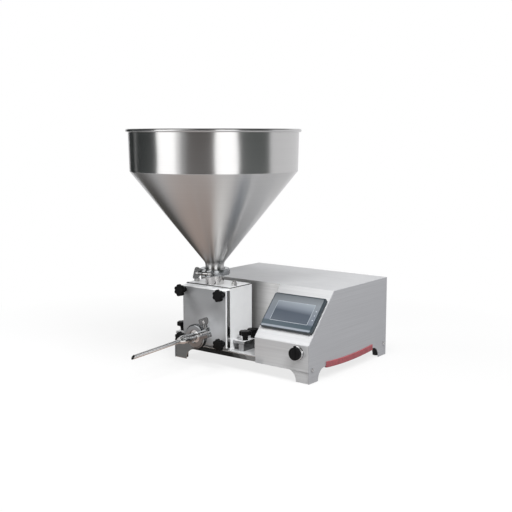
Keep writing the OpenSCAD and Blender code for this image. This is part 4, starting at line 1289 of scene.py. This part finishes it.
def level_card(name, height, base_tone, patches):
    """A level card of one tone with round patches of others."""
    card = new_primitive(name, bpy.ops.mesh.primitive_circle_add, vertices=level_sides, radius=card_r,
                         fill_type="NGON", location=(0, 0, height))
    material = emission_material(name, (1, 1, 1), 1)
    colour = None
    for place, radius, start, end, tone in patches:
        mix = add_node(material, "ShaderNodeMix")
        mix.data_type = "RGBA"
        patch = round_patch(material, (*place, height), radius, start, end)
        link(material, patch, mix.inputs["Factor"])
        if colour is None:
            mix.inputs[6].default_value = (*base_tone, 1)
        else:
            link(material, colour, mix.inputs[6])
        mix.inputs[7].default_value = (*tone, 1)
        colour = mix.outputs[2]
    link(material, colour, material.node_tree.nodes["Emission"].inputs["Color"])
    card.data.materials.append(material)
    only_in_reflections(card)


def camera_like_rays(material):
    """1 for camera, glossy and transmission rays, 0 for the light that falls on the machine."""
    path = add_node(material, "ShaderNodeLightPath")
    total = path.outputs["Is Camera Ray"]
    for kind in ("Is Glossy Ray", "Is Transmission Ray"):
        either = add_node(material, "ShaderNodeMath")
        either.operation = "MAXIMUM"
        link(material, total, either.inputs[0])
        link(material, path.outputs[kind], either.inputs[1])
        total = either.outputs["Value"]
    return total


def floor():
    """A pale floor that keeps the machine's shadow and fades to white further out."""
    plane = new_primitive("floor", bpy.ops.mesh.primitive_plane_add, size=floor_size, location=(0, 0, 0))
    material = new_material("floor_white", roughness=0.9, base_color=(*floor_tone, 1),
                            emission_color=(1, 1, 1, 1))
    shader = shader_of(material)
    shader.inputs["Specular IOR Level"].default_value = 0
    lift = add_node(material, "ShaderNodeMath")
    lift.operation = "MULTIPLY"
    lift.inputs[1].default_value = floor_lift
    seen = camera_like_rays(material)
    link(material, seen, lift.inputs[0])
    link(material, lift.outputs["Value"], shader.inputs["Emission Strength"])
    white = add_node(material, "ShaderNodeEmission")
    link(material, seen, white.inputs["Strength"])
    where = add_node(material, "ShaderNodeTexCoord")
    mapping = add_node(material, "ShaderNodeMapping", scale=(floor_fade, floor_fade, floor_fade))
    fade = add_node(material, "ShaderNodeTexGradient")
    fade.gradient_type = "SPHERICAL"
    start, end = floor_fade_range
    near = add_node(material, "ShaderNodeMapRange", from_min=start, from_max=end)
    mix = add_node(material, "ShaderNodeMixShader")
    link(material, where.outputs["Object"], mapping.inputs["Vector"])
    link(material, mapping.outputs["Vector"], fade.inputs["Vector"])
    link(material, fade.outputs["Fac"], near.inputs["Value"])
    link(material, near.outputs["Result"], mix.inputs["Fac"])
    link(material, white.outputs["Emission"], mix.inputs[1])
    link(material, shader.outputs["BSDF"], mix.inputs[2])
    link(material, mix.outputs["Shader"], material.node_tree.nodes["Material Output"].inputs["Surface"])
    plane.data.materials.append(material)


def world():
    """White to the eye and to metal, dimmer as light on the machine."""
    sky = bpy.data.worlds.new("studio")
    bpy.context.scene.world = sky
    sky.use_nodes = True
    background = sky.node_tree.nodes["Background"]
    background.inputs["Color"].default_value = (1, 1, 1, 1)
    level = add_node(sky, "ShaderNodeMapRange", to_min=sky_light, to_max=1)
    link(sky, camera_like_rays(sky), level.inputs["Value"])
    link(sky, level.outputs["Result"], background.inputs["Strength"])


def softbox(name, angle, rise, distance, size, power):
    """A square lamp aimed at the machine, which metal doesn't mirror."""
    light = bpy.data.lights.new(name, "AREA")
    light.shape = "SQUARE"
    light.size = size
    light.energy = power
    lamp = bpy.data.objects.new(name, light)
    lamp.location = seen_as(angle) * distance * math.cos(math.radians(rise))
    lamp.location.z = softbox_aim_z + distance * math.sin(math.radians(rise))
    aim = Vector((0, 0, softbox_aim_z)) - lamp.location
    lamp.rotation_euler = aim.to_track_quat("-Z", "Y").to_euler()
    lamp.visible_glossy = False
    bpy.context.scene.collection.objects.link(lamp)


def studio():
    floor()
    world()
    for facts in softboxes:
        softbox(*facts)
    for facts in wall_cards:
        wall_card(*facts)
    low_cards()
    level_card("ground_card", ground_card_z, ground_tone, ground_patches)
    level_card("ceiling_card", card_h, ceiling_tone, ceiling_patches)


def camera():
    view = bpy.data.cameras.new("camera")
    view.lens = camera_lens
    view.sensor_width = camera_sensor
    eye = bpy.data.objects.new("camera", view)
    eye.location = camera_place
    eye.rotation_euler = (math.radians(90 - camera_dip), 0, math.radians(camera_turn))
    bpy.context.scene.collection.objects.link(eye)
    bpy.context.scene.camera = eye


camera()
for node, piece in cad_nodes.items():
    piece.data.materials.clear()
    piece.data.materials.append(finish_of_slot[slot_of[node]])
cabinet()
skirts()
edge_trims()
casing_screws()
touch_panel()
selector_ring()
selector_knob()
pump_head()
star_knobs()
wing_nuts()
hopper()
studio()
bpy.context.scene.view_settings.view_transform = "Standard"
